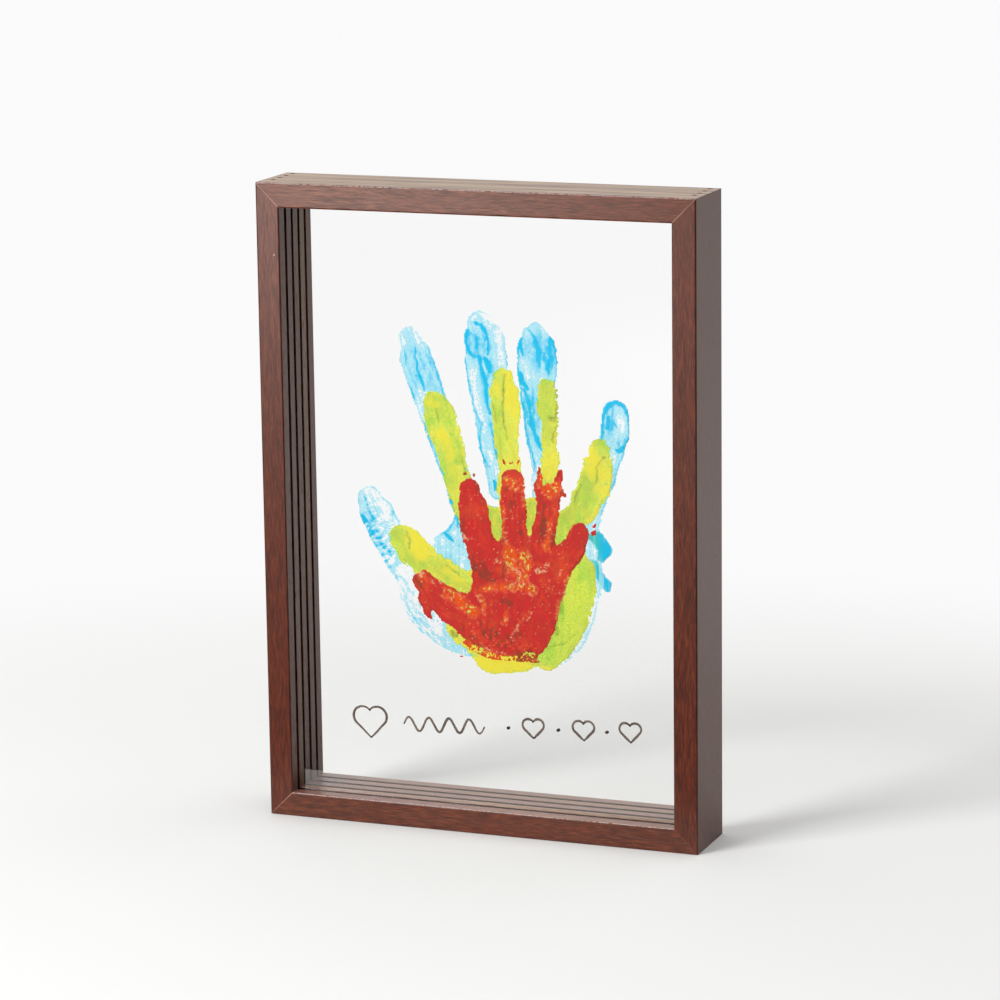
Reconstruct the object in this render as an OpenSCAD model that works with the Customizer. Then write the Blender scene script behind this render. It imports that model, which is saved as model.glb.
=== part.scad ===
// Deep standing frame whose four mitred members hold four clear sheets, one behind the other.
// Each sheet carries one layer of a picture: marker strokes in front, then three nested handprints.
// Millimetres. X runs to the right, Y from the front to the back, Z up.
// The origin is the middle of the footprint, on the surface that the frame stands on.

/* [Frame] */
// Width over the stiles
frame_w = 222; // [180:1:300]
// Height over the rails
frame_h = 314; // [270:1:420]
// Depth from the front face to the back face
frame_d = 38.5; // [34:0.5:60]
// Width of each member's face, seen from the front
face_w = 12; // [10:0.5:20]
// Radius of the eased long edges
edge_r = 0.8; // [0.3:0.1:1.5]

/* [Sheets] */
// Thickness of each clear sheet
sheet_t = 2; // [1:0.1:3]
// Clearance between a sheet and each wall of its groove
sheet_play = 0.3; // [0.1:0.05:0.5]
// Depth of the grooves, measured from the face that looks into the opening
groove_depth = 6; // [4:0.5:7]
// Distance from one groove to the next
groove_pitch = 7.7; // [6.5:0.1:9]
// Gap between each side edge of a sheet and the bottom of its groove
sheet_side_gap = 0.5; // [0.2:0.1:1]
// Gap between the top edge of a sheet and the bottom of the top rail's groove
sheet_top_gap = 1; // [0.5:0.1:2]

/* [Pins] */
// Diameter of the pins and brads
pin_d = 1.6; // [1.2:0.1:2]
// Length of the pins and brads, with the head
pin_l = 22; // [16:1:30]
// Diameter of their heads
pin_head_d = 2.4; // [2.2:0.1:3]
// Height of their heads
pin_head_h = 0.8; // [0.4:0.1:1.2]
// How far the heads are sunk below the surface
pin_sink = 0.4; // [0.2:0.1:0.8]
// Distance of the pins from the outer side of the frame
pin_inset = 4.5; // [3.5:0.1:5.5]
// Radial clearance of the top rail's pins in the stiles
pin_play = 0.1; // [0.05:0.01:0.1]
// Spare depth of a hole below its pin's tip
pin_spare = 2; // [1:0.5:4]

/* [Prints] */
// Length of the largest handprint, from the heel to the middle fingertip
large_print_l = 175; // [140:1:185]
// Length of the middle handprint
middle_print_l = 153; // [120:1:170]
// Length of the smallest handprint
child_print_l = 92; // [70:1:110]
// Thickness of the dried paint
paint_t = 0.25; // [0.1:0.05:0.5]

/* [Marker ornament] */
// Width of a marker stroke
stroke_w = 1.1; // [0.8:0.1:2]
// Thickness of the dried ink
ink_t = 0.15; // [0.05:0.05:0.3]
// Height of the first and largest heart
big_heart_h = 17; // [12:1:20]
// Height of the three small hearts
small_heart_h = 11; // [7:1:13]
// Length of the wavy line between the large heart and the small ones
wave_l = 42; // [30:1:50]
// Height of the wavy line from trough to crest
wave_h = 7; // [4:0.5:10]
// Diameter of the dots between the small hearts
dot_d = 1.8; // [1.2:0.1:3]
// How far the whole row leans upwards to the right, in degrees
row_lean = 2.5; // [0:0.5:5]

/* [Hidden] */
$fn = 48;

// Every cut runs this far past the surface that it opens
overrun = 1;

// One groove for each sheet, spread evenly about the middle of the depth
sheet_count = 4;
groove_w = sheet_t + 2 * sheet_play;
function groove_y(i) = (i - (sheet_count - 1) / 2) * groove_pitch;
half_d = frame_d / 2;

// The pins stand in the ribs between and behind the grooves, clear of every sheet
function rib_y(i) = i < sheet_count ? (groove_y(i - 1) + groove_y(i)) / 2
                                    : (groove_y(sheet_count - 1) + half_d) / 2;

opening_w = frame_w - 2 * face_w;
opening_h = frame_h - 2 * face_w;

// A sheet reaches into all four grooves and stands on the bottom one
sheet_z = face_w - groove_depth;
sheet_w = opening_w + 2 * groove_depth - 2 * sheet_side_gap;
sheet_h = opening_h + 2 * groove_depth - sheet_top_gap;
function sheet_front_y(i) = groove_y(i) - sheet_t / 2;

// Where each print's heel lies, as shares of the opening's width from its middle and of its height
large_heel_shares = [0.04, 0.228];
middle_heel_shares = [0.05, 0.217];
child_heel_shares = [0.07, 0.262];

// Digits of each print from the thumb to the little finger, as shares of the print's length:
// [root x, root z, tip x, tip z, width], where the tip is the middle of the round end
large_digit_shares = [[-0.085, 0.125, -0.410, 0.410, 0.130], [-0.150, 0.480, -0.285, 0.870, 0.120],
                      [-0.050, 0.500, -0.080, 0.935, 0.128], [0.065, 0.480, 0.080, 0.900, 0.124],
                      [0.190, 0.420, 0.295, 0.725, 0.092]];
middle_digit_shares = [[-0.080, 0.115, -0.370, 0.375, 0.130], [-0.135, 0.480, -0.235, 0.855, 0.124],
                       [-0.035, 0.500, -0.020, 0.935, 0.108], [0.075, 0.480, 0.125, 0.915, 0.092],
                       [0.180, 0.420, 0.280, 0.730, 0.112]];
child_digit_shares = [[-0.060, 0.110, -0.450, 0.280, 0.180], [-0.160, 0.420, -0.230, 0.850, 0.150],
                      [-0.020, 0.420, 0.005, 0.925, 0.138], [0.110, 0.400, 0.190, 0.900, 0.138],
                      [0.180, 0.340, 0.360, 0.680, 0.110]];
// Middles of the palm's round corners, and their radius, as shares of the print's length
palm_corner_shares = [[-0.070, 0.120], [0.110, 0.105], [0.170, 0.270], [0.155, 0.410], [0.000, 0.480],
                      [-0.150, 0.430]];
palm_r_share = 0.105;
arc_steps = 10;

// The ornament runs along one line above the bottom rail, as shares of the opening
ornament_z_share = 0.138;
big_heart_x_share = -0.30;
wave_x_share = -0.21;
small_heart_x_shares = [0.13, 0.26, 0.38];
dot_x_shares = [0.065, 0.195, 0.32];
wave_turns = 4;
wave_steps = 64;

wood_colour = "#5b352b";
steel_colour = "#9a9894";
clear_colour = [0.85, 0.93, 0.95, 0.25];

// The members

// Cross-section of the moulding: X from the outer side to the opening, Y over the depth
module moulding_section() {
    difference() {
        union() {
            translate([0, edge_r - half_d]) square([face_w, frame_d - 2 * edge_r]);
            translate([edge_r, -half_d]) square([face_w - 2 * edge_r, frame_d]);
            for (x = [edge_r, face_w - edge_r], y = [edge_r - half_d, half_d - edge_r])
                translate([x, y]) circle(edge_r);
        }
        for (i = [0 : sheet_count - 1])
            translate([face_w - groove_depth, groove_y(i) - groove_w / 2])
                square([groove_depth + overrun, groove_w]);
    }
}

// A length of moulding along Z with its outer side at x = 0, mitred at both ends
module mitred_member(length) {
    intersection() {
        linear_extrude(length) moulding_section();
        translate([0, half_d + overrun, 0]) rotate([90, 0, 0]) linear_extrude(frame_d + 2 * overrun)
            polygon([[0, 0], [face_w, face_w], [face_w, length - face_w], [0, length]]);
    }
}

// Lays a member down along X, with its outer side towards -Z
module laid_down() {
    translate([frame_w / 2, 0, 0]) rotate([0, -90, 0]) children();
}

// Turns what is built at the left end of a rail or stile into its twin at the right
module at_right() {
    mirror([1, 0, 0]) children();
}

// Turns what is built at the top of the frame upside down, for the bottom corners
module at_bottom() {
    translate([0, 0, frame_h]) mirror([0, 0, 1]) children();
}

// Pins and brads

// The rib centres that carry pins: all but the frontmost rib
module at_pins() {
    for (i = [1 : sheet_count])
        translate([pin_inset - frame_w / 2, rib_y(i), 0]) children();
}

// One headed pin hanging from the top face of the frame
module pin() {
    translate([0, 0, frame_h - pin_sink - pin_head_h]) cylinder(h = pin_head_h, d = pin_head_d);
    translate([0, 0, frame_h - pin_sink - pin_l]) cylinder(h = pin_l - pin_head_h / 2, d = pin_d);
}

// The bore for that pin, wider by play and deeper by spare, with the counterbore for its head
module pin_hole(play, spare) {
    translate([0, 0, frame_h - pin_sink - pin_head_h])
        cylinder(h = pin_head_h + pin_sink + overrun, d = pin_head_d);
    translate([0, 0, frame_h - pin_sink - pin_l - spare])
        cylinder(h = pin_l + spare - pin_head_h / 2, r = pin_d / 2 + play);
}

module pin_row() {
    at_pins() pin();
}

module hole_row(play, spare) {
    at_pins() pin_hole(play, spare);
}

module left_stile() {
    color(wood_colour) difference() {
        translate([-frame_w / 2, 0, 0]) mitred_member(frame_h);
        hole_row(pin_play, pin_spare);
        at_bottom() hole_row(0, 0);
    }
}

module right_stile() {
    at_right() left_stile();
}

module bottom_rail() {
    color(wood_colour) difference() {
        laid_down() mitred_member(frame_w);
        at_bottom() hole_row(0, 0);
        at_bottom() at_right() hole_row(0, 0);
    }
}

module top_rail() {
    at_bottom() bottom_rail();
}

module left_top_pins() {
    color(steel_colour) pin_row();
}

module right_top_pins() {
    at_right() left_top_pins();
}

module left_bottom_brads() {
    at_bottom() left_top_pins();
}

module right_bottom_brads() {
    at_right() left_bottom_brads();
}

// The clear sheets

module sheet_in_groove(i) {
    color(clear_colour) translate([-sheet_w / 2, sheet_front_y(i), sheet_z])
        cube([sheet_w, sheet_t, sheet_h]);
}

module front_sheet() {
    sheet_in_groove(0);
}

module second_sheet() {
    sheet_in_groove(1);
}

module third_sheet() {
    sheet_in_groove(2);
}

module rear_sheet() {
    sheet_in_groove(3);
}

// What is painted and drawn on them

// Stands a flat drawing up on the front face of sheet i, thickness t towards the viewer
module on_sheet(i, t) {
    translate([0, sheet_front_y(i), 0]) rotate([90, 0, 0]) linear_extrude(t) children();
}

// The outline of radius r about a row of points that turn left: arcs about the points, joined by their
// tangents. Two points give a bar with round ends. An edge that runs at angle t has its outside at t - 90.
function edge_angle(p, q) = atan2(q.y - p.y, q.x - p.x);
function round_outline(middles, r) =
    let (count = len(middles))
    [for (k = [0 : count - 1])
        let (before = edge_angle(middles[(k + count - 1) % count], middles[k]),
             after = edge_angle(middles[k], middles[(k + 1) % count]),
             turn = (after - before + 360) % 360)
        for (step = [0 : arc_steps])
            let (t = before + turn * step / arc_steps)
            middles[k] + r * [sin(t), -cos(t)]];

// A flat handprint of length l, its heel at the origin and its middle finger upwards
module hand_outline(l, digit_shares) {
    for (s = digit_shares * l)
        polygon(round_outline([[s[0], s[1]], [s[2], s[3]]], s[4] / 2));
    polygon(round_outline(palm_corner_shares * l, palm_r_share * l));
}

// A print on sheet i, with its heel at shares of the opening
module print_on_sheet(i, l, heel_shares, digit_shares) {
    on_sheet(i, paint_t)
        translate([heel_shares[0] * opening_w, face_w + heel_shares[1] * opening_h])
            hand_outline(l, digit_shares);
}

module child_print() {
    color("#cf2a24") print_on_sheet(1, child_print_l, child_heel_shares, child_digit_shares);
}

module middle_print() {
    color("#dfe23a") print_on_sheet(2, middle_print_l, middle_heel_shares, middle_digit_shares);
}

module large_print() {
    color("#5ec3ea") print_on_sheet(3, large_print_l, large_heel_shares, large_digit_shares);
}

// Two round lobes of radius r on the upper sides of a square that stands on its corner
module heart_lobes(side, r) {
    translate([side, side / 2]) circle(r);
    translate([side / 2, side]) circle(r);
}

// A heart of height h about its middle, drawn as a stroke: its outline less the same outline set in
module heart_stroke(h) {
    lobe_r = h / (1 + 3 * sin(45));
    side = 2 * lobe_r;
    translate([0, -h / 2]) rotate(45) difference() {
        union() {
            square(side);
            heart_lobes(side, lobe_r);
        }
        difference() {
            union() {
                translate([stroke_w, stroke_w]) square(side - stroke_w);
                heart_lobes(side, lobe_r - stroke_w);
            }
            translate([side, side]) circle(stroke_w);
        }
    }
}

// A wavy stroke from the origin to the right, one strip between two shifted sine lines
module wave_stroke() {
    function wave_point(t, side) =
        let (slope = atan2(PI * wave_turns * wave_h * cos(360 * wave_turns * t), wave_l))
        [wave_l * t, wave_h / 2 * sin(360 * wave_turns * t)]
        + side * stroke_w / 2 * [-sin(slope), cos(slope)];
    polygon([for (k = [0 : wave_steps]) wave_point(k / wave_steps, 1),
             for (k = [wave_steps : -1 : 0]) wave_point(k / wave_steps, -1)]);
}

module marker_ornament() {
    color("#3a302c") on_sheet(0, ink_t)
        translate([0, face_w + ornament_z_share * opening_h]) rotate(row_lean) {
            translate([big_heart_x_share * opening_w, 0]) heart_stroke(big_heart_h);
            translate([wave_x_share * opening_w, 0]) wave_stroke();
            for (x = small_heart_x_shares * opening_w)
                translate([x, 0]) heart_stroke(small_heart_h);
            for (x = dot_x_shares * opening_w)
                translate([x, 0]) circle(d = dot_d);
        }
}

left_stile();
right_stile();
bottom_rail();
top_rail();
left_top_pins();
right_top_pins();
left_bottom_brads();
right_bottom_brads();
front_sheet();
second_sheet();
third_sheet();
rear_sheet();
marker_ornament();
child_print();
middle_print();
large_print();
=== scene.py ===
# %% [markdown]
# # A deep frame with painted hands on clear sheets
#
# The object is a standing frame of dark wood. Four clear sheets slide into grooves in its members,
# one behind the other, and each sheet carries one layer of a picture: marker strokes in front, then
# three handprints that nest inside each other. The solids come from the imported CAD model, and this
# script gives them their looks: the film on the wood, the polished sheets, the paint and the ink.

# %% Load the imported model
import math
import bpy
import numpy as np
from mathutils import Matrix, Vector


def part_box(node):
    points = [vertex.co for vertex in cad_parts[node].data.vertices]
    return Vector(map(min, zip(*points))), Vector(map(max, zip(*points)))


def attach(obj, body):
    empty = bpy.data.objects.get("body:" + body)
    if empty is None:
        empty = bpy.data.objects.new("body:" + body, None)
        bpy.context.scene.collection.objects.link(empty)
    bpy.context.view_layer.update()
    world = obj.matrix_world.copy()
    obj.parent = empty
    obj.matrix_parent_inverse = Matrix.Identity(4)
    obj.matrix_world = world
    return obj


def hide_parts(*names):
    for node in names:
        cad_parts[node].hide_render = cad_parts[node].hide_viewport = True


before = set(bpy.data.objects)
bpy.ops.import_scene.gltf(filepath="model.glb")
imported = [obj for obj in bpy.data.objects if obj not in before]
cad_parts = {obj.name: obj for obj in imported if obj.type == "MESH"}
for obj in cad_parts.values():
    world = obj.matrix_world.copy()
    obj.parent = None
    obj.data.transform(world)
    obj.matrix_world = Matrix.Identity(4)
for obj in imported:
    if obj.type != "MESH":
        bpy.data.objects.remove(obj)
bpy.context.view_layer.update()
print("nodes:", ", ".join(sorted(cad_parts)))

# %% [markdown]
# ## Sizes that the looks follow
#
# A finish often depends on where a point lies: a mitre runs from the outer corner to the inner one,
# and an edge wears where two faces meet. The places are worked out from the solids' own boxes, so
# that the looks still fit when the frame is packed again with another size.

# %% The frame's sizes, read from its solids
MM = 0.001
stile_low, stile_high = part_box("left_stile")
half_width = -stile_low.x
half_depth = -stile_low.y
height = stile_high.z
face_width = stile_high.x - stile_low.x
print("frame in mm:", [round(v / MM, 2) for v in (2 * half_width, 2 * half_depth, height, face_width)])

# %% [markdown]
# ## The camera
#
# A product picture is taken with a long lens from a little above, which keeps the upright edges
# nearly parallel. Blender's camera looks along its own -Z axis with +Y upwards, so its rotation
# matrix has the picture's right, up and backward directions as columns.

# %% Place the camera
camera_data = bpy.data.cameras.new("camera")
camera = bpy.data.objects.new("camera", camera_data)
bpy.context.scene.collection.objects.link(camera)
bpy.context.scene.camera = camera
camera_data.sensor_width = 36.0
camera_data.lens = 145.25
camera_data.clip_end = 60.0
camera_place = Vector((0.6897, -1.76875, 0.5625))
turn, tilt, lean = (math.radians(a) for a in (-21.1567, 11.9229, -0.7565))
forward = Vector((math.sin(turn) * math.cos(tilt), math.cos(turn) * math.cos(tilt), -math.sin(tilt)))
level_right = Vector((math.cos(turn), -math.sin(turn), 0.0))
level_up = level_right.cross(forward)
picture_right = math.cos(lean) * level_right + math.sin(lean) * level_up
picture_up = math.cos(lean) * level_up - math.sin(lean) * level_right
camera.matrix_world = Matrix.Translation(camera_place) @ Matrix(
    (picture_right, picture_up, -forward)).transposed().to_4x4()
print("camera", [round(v, 3) for v in camera_place], "lens", camera_data.lens, "mm")

# %% [markdown]
# ## Small tools for materials
#
# A material is a graph of nodes. Building one line by line is long, so a few helpers add a node, set
# its inputs and hand back an output as a `Wire`. Wires can be added, subtracted and multiplied like
# numbers, and each such sign adds a Math node. An input may be a number, a colour or a wire.

# %% Wires and the nodes that they link
class Wire:
    """An output of a node. Sums, differences and products of wires are the outputs of Math nodes."""

    def __init__(self, socket):
        self.socket = socket
        self.tree = socket.id_data

    def __add__(self, other):
        return maths("ADD", self, other)

    def __sub__(self, other):
        return maths("SUBTRACT", self, other)

    def __rsub__(self, other):
        return maths("SUBTRACT", other, self)

    def __mul__(self, other):
        return maths("MULTIPLY", self, other)


def wire(socket, value):
    """Links the socket to a wire, or sets its number or colour."""
    if isinstance(value, Wire):
        value.tree.links.new(value.socket, socket)
    else:
        socket.default_value = value


def wire_all(sockets, values):
    """Wires several sockets, given by their names or numbers."""
    for key, value in values.items():
        wire(sockets[key], value)


def node(tree, kind, inputs=None, output=0, **settings):
    """Adds a shader node of this kind, with its settings first and then its inputs."""
    made = tree.nodes.new("ShaderNode" + kind)
    for name, value in settings.items():
        setattr(made, name, value)
    wire_all(made.inputs, inputs or {})
    return Wire(made.outputs[output])


def maths(operation, *values):
    """One Math node, in the tree of the first wire among its values."""
    tree = next(value.tree for value in values if isinstance(value, Wire))
    return node(tree, "Math", dict(enumerate(values)), operation=operation)


# %% Nodes for values, places and colours
def ease(value, start, end, low=0.0, high=1.0):
    """Goes smoothly from low to high while the value goes from start to end."""
    return node(value.tree, "MapRange", {0: value, 1: start, 2: end, 3: low, 4: high},
                interpolation_type="SMOOTHSTEP")


def fade(value, start, end):
    """Goes smoothly from 1 to 0 while the value goes from start to end."""
    return ease(value, start, end, 1.0, 0.0)


def tint(share, first, second):
    """Mixes two colours: the first where the share is 0, the second where it is 1."""
    return node(share.tree, "Mix", {0: share, 6: first, 7: second}, 2, data_type="RGBA")


def cloud(place, scale, detail=2.0, roughness=0.5):
    """A noise value about 0.5, whose spots are one over scale metres wide."""
    return node(place.tree, "TexNoise", {"Vector": place, "Scale": scale, "Detail": detail,
                                         "Roughness": roughness}, "Fac")


def stretched(place, scale, turned=(0, 0, 0), moved=(0, 0, 0)):
    """The place multiplied by a scale along each axis, then turned and moved."""
    return node(place.tree, "Mapping", {"Vector": place, "Scale": scale, "Rotation": turned,
                                        "Location": moved})


def split(place):
    """The three coordinates of a place."""
    return [Wire(axis) for axis in node(place.tree, "SeparateXYZ", {0: place}).socket.node.outputs]


def distance(place, spot):
    """How far the place is from a spot, in metres."""
    return node(place.tree, "VectorMath", {0: place, 1: spot}, "Value", operation="DISTANCE")


def bump(value, distance_mm, strength=1.0):
    """A normal that leans as if the value stood up from the surface by this distance."""
    return node(value.tree, "Bump", {"Height": value, "Distance": distance_mm * MM, "Strength": strength})


def rgb(*levels):
    """A colour as Blender stores it, from screen levels between 0 and 255."""
    return tuple(((c / 255 + 0.055) / 1.055) ** 2.4 if c > 10 else c / 255 / 12.92 for c in levels) + (1.0,)


print("a middle grey is stored as", [round(v, 3) for v in rgb(128, 128, 128)])


# %% Shaders and rays
def blend(share, first, second):
    """Mixes two shaders: the first where the share is 0, the second where it is 1."""
    return node(share.tree, "MixShader", {0: share, 1: first, 2: second})


def seen_through(tree, colour=(1, 1, 1, 1)):
    """A shader that lets the light straight through, times a colour."""
    return node(tree, "BsdfTransparent", {"Color": colour})


def ray_is(tree, kind):
    """1 for rays of this kind: Camera, Transmission, Glossy, Diffuse or Shadow."""
    return node(tree, "LightPath", output="Is " + kind + " Ray")


# %% Node groups, materials and meshes
def group(name, inputs, outputs):
    """An empty node group with these sockets; returns it, its inputs as wires and its output sockets."""
    tree = bpy.data.node_groups.new(name, "ShaderNodeTree")
    kinds = {"vector": "NodeSocketVector", "colour": "NodeSocketColor", "value": "NodeSocketFloat"}
    for side, sockets in (("INPUT", inputs), ("OUTPUT", outputs)):
        for label, kind in sockets.items():
            tree.interface.new_socket(name=label, in_out=side, socket_type=kinds[kind])
    given = tree.nodes.new("NodeGroupInput").outputs
    return tree, {label: Wire(given[label]) for label in inputs}, tree.nodes.new("NodeGroupOutput").inputs


def place_group(made, inputs):
    """Puts a node group into the tree that its inputs come from; returns its outputs by name."""
    used = inputs["Place"].tree.nodes.new("ShaderNodeGroup")
    used.node_tree = made
    wire_all(used.inputs, inputs)
    return {output.name: Wire(output) for output in used.outputs}


def material(name):
    """A new material; returns it, a point's place in the piece's own metres, its Principled shader
    and the socket of its surface."""
    made = bpy.data.materials.new(name)
    made.use_nodes = True
    nodes = made.node_tree.nodes
    place = node(made.node_tree, "TexCoord", output="Object")
    return made, place, nodes["Principled BSDF"], nodes["Material Output"].inputs["Surface"]


def new_piece(name, points, faces):
    """A mesh object at the origin, from an array of points in metres and a list of faces."""
    mesh = bpy.data.meshes.new(name)
    mesh.from_pydata(points.tolist(), [], faces)
    mesh.update()
    made = bpy.data.objects.new(name, mesh)
    bpy.context.scene.collection.objects.link(made)
    return made


# %% [markdown]
# ## The stage
#
# The frame stands on a pale table under a large soft lamp from the front left. The table keeps the
# frame's shadow near the frame, and goes over into plain white further off, so that no horizon
# shows. The world is bright behind the frame and dim in front of it, as in a studio where the
# camera's side is dark: glossy film then mirrors white where it is seen at a flat angle only. In
# reflections alone the table is painted dark in front of the frame and given painted shade just
# behind it. The right stile alone mirrors a lit part of the table.

# %% The pale floor
floor_size = 8.0
floor_steps = 9
line = np.linspace(-floor_size, floor_size, floor_steps)
floor_x, floor_y = (a.ravel() for a in np.meshgrid(line, line, indexing="ij"))
corner = (np.arange(floor_steps - 1)[:, None] * floor_steps + np.arange(floor_steps - 1)).ravel()
squares = np.column_stack([corner, corner + floor_steps, corner + floor_steps + 1, corner + 1])
floor = new_piece("floor", np.column_stack([floor_x, floor_y, np.zeros(floor_x.size)]), squares.tolist())

floor_paint, place, shader, surface = material("pale_floor")
tree = place.tree
across, away, _ = split(place)
wire_all(shader.inputs, {"Base Color": (0.815, 0.817, 0.805, 1.0), "Roughness": 0.9,
                         "Specular IOR Level": 0.1})
far_off = ease(distance(place, (0.05, -0.25, 0.0)), 0.45, 0.85)
glow = node(tree, "Emission", {"Color": (0.96, 0.96, 0.96, 1.0)})
dark_card = node(tree, "Emission", {"Color": (0.03, 0.03, 0.03, 1.0)})
seen = maths("MAXIMUM", ray_is(tree, "Camera"), ray_is(tree, "Transmission"))
seen_floor = blend(seen * far_off, Wire(shader.outputs[0]), glow)
# In reflections only, the table is painted dark: a dark card in front of the frame, except the lit part that
# the right stile mirrors, and painted shade that fades out just behind the frame.
in_front = fade(away, -half_depth - 70 * MM, -half_depth - 66 * MM)
right_of_camera_line = ease(across - away * 0.395, 0.0, 0.2)
lit_table = right_of_camera_line * ease(away, -0.55, -0.90) * fade(away, -1.15, -1.65)
painted_shade_behind = ease(away, 0.0, 0.02) * ease(away, 0.02, 0.70, 0.3, 0.0)
painted_dark_in_reflections = maths("MAXIMUM", in_front * (1.0 - lit_table), painted_shade_behind)
wire(surface, blend(ray_is(tree, "Glossy") * painted_dark_in_reflections, seen_floor, dark_card))
floor.data.materials.append(floor_paint)
print("floor", 2 * floor_size, "m wide")

# %% [markdown]
# ## The light
#
# A studio lights a product with large soft lamps, and the room adds the rest. Three square lamps do
# the same here: a main one from the upper left, a weaker one lower down, and a small card whose only
# task is the sheen on the lacquered wood, so it lights nothing else. The world's brightness follows
# the direction, which costs no lamp: bright behind the frame and overhead, dark in front.

# %% The room's light
world = bpy.data.worlds.new("studio")
bpy.context.scene.world = world
world.use_nodes = True
tree = world.node_tree
_, away, up = split(node(tree, "TexCoord", output="Generated"))
level = maths("MAXIMUM", ease(away, -0.35, 0.55) * 0.95, ease(up, 0.2, 0.9) * 0.8)
room = tint(level, (0.10, 0.10, 0.10, 1.0), (1.0, 1.0, 1.0, 1.0))
seen = maths("MAXIMUM", ray_is(tree, "Camera"), ray_is(tree, "Transmission"))
backdrop = tint(seen, room, (0.96, 0.96, 0.96, 1.0))
wire_all(tree.nodes["Background"].inputs, {"Color": backdrop, "Strength": 1.0})
print("world", world.name, "of", len(tree.nodes), "nodes")


# %% The lamps
def lamp(name, aim, towards, reach, size, power):
    """A square soft lamp that looks at the aim from the given direction and distance."""
    data = bpy.data.lights.new(name, "AREA")
    data.shape = "SQUARE"
    data.size = size
    data.energy = power
    made = bpy.data.objects.new(name, data)
    bpy.context.scene.collection.objects.link(made)
    back = Vector(towards).normalized()
    made.location = Vector(aim) + back * reach
    made.rotation_mode = "QUATERNION"
    made.rotation_quaternion = back.to_track_quat("Z", "Y")
    print("lamp", name, "at", [round(v, 2) for v in made.location], "power", power)
    return made


middle_of_frame = (0.0, 0.0, 0.16)
lamp("key_softbox", middle_of_frame, (-0.55, -0.83, 1.0), 2.2, 0.7, 21.0)
lamp("fill_softbox", middle_of_frame, (-0.50, -0.85, 0.45), 2.1, 1.0, 12.0)
sheen_card = lamp("sheen_card", (0.06, 0.0, 0.285), (-0.95, -1.97, -0.14), 2.19, 0.34, 8.4)

bpy.context.scene.view_settings.view_transform = "Standard"
bpy.context.scene.cycles.transparent_max_bounces = 48

# %% [markdown]
# ## The wood-grain film
#
# The members are wrapped in a printed film that looks like dark walnut, under a satin lacquer. It
# could be an image wrapped round the members, but a pattern made from noise needs no picture and
# has no seams: long thin streaks are noise that is stretched along the member. Where the film was
# cut, at the mitres, the pale core shows as a thin line. The rails' upper edges have tiny chips mixed
# with painted glints, and the stiles' edges carry a dark line of painted shade.

# %% Node group: flecks of the film
film_grain, given, result = group(
    "film_grain", {"Place": "vector", "Deep": "colour", "Middle": "colour", "Warm": "colour"},
    {"Colour": "colour", "Roughness": "value", "Height": "value"})
place = given["Place"]
sway = (cloud(stretched(place, (16.0, 60.0, 60.0)), 1.0) - 0.5) * (2 * MM)
swayed = node(place.tree, "VectorMath", {0: place, 1: node(place.tree, "CombineXYZ", {1: sway, 2: sway})},
              operation="ADD")
streak = cloud(stretched(swayed, (105.0, 1350.0, 1350.0)), 1.0, 3.0, 0.62)
fleck = cloud(stretched(swayed, (150.0, 1500.0, 1500.0), moved=(0.3, 0.7, 0.1)), 1.0, 2.0, 0.55)
board = cloud(stretched(swayed, (18.0, 170.0, 170.0)), 1.0)
dark_flecks = ease(fleck, 0.46, 0.33)
colour = tint(ease(streak, 0.30, 0.70), given["Deep"], given["Middle"])
colour = tint(ease(board, 0.54, 0.36) * 0.3, colour, given["Deep"])
colour = tint(ease(fleck, 0.50, 0.66) * 0.40, colour, given["Warm"])
colour = tint(dark_flecks * 0.50, colour, given["Deep"])
wire_all(result, {"Colour": colour, "Roughness": ease(streak, 0.3, 0.7, 0.31, 0.27),
                  "Height": streak * 0.5 - dark_flecks})
print("node group", film_grain.name, "of", len(film_grain.nodes), "nodes")

# %% [markdown]
# ## Cuts, wear and painted light
#
# The cuts show the pale core as a thin ragged line. On the rails' upper edges pale chips are mixed
# with painted glints, the stiles' front and back edges get a dark line of painted shade, and the
# bottoms of the grooves get painted shade. Masks could be painted by hand, but here each one is
# worked out from a point's distances: to the outer side, to the nearer end, to the nearer face, and
# to the mitre, where the first two are equal. Noise makes the borders ragged.

# %% Node group: where the members are cut and worn, and where shade and glints are painted
cuts_wear_and_painted_light, given, result = group("cuts_wear_and_painted_light", {"Place": "vector"}, dict.fromkeys(
    ("Core", "ChipsAndGlints", "EdgeShade", "Milled", "GrooveShade", "Top", "Side"), "value"))
place = given["Place"]
across, away, up = split(place)
from_side = half_width - maths("ABSOLUTE", across)
from_end = maths("MINIMUM", up, height - up)
from_face = half_depth - maths("ABSOLUTE", away)
outwards = maths("MINIMUM", from_side, from_end)
ragged = cloud(place, 900.0, 3.0, 0.6) - 0.5

off_mitre = maths("ABSOLUTE", (from_side - from_end) * 0.7071)
sawn = fade(off_mitre, 0.01 * MM, 0.02 * MM)
core = fade(off_mitre + ragged * (0.2 * MM), 0.04 * MM, 0.20 * MM)
core = core * ease(outwards, 0.0, face_width, 0.45, 1.0)
well_closed = ease(across, 0.0, 10 * MM) * ease(up, 160 * MM, 150 * MM)
core = core * (1.0 - well_closed * 0.9) * fade(from_face, 0.2 * MM, 0.4 * MM)
wire(result["Core"], maths("MAXIMUM", core, sawn * 0.6))

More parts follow.
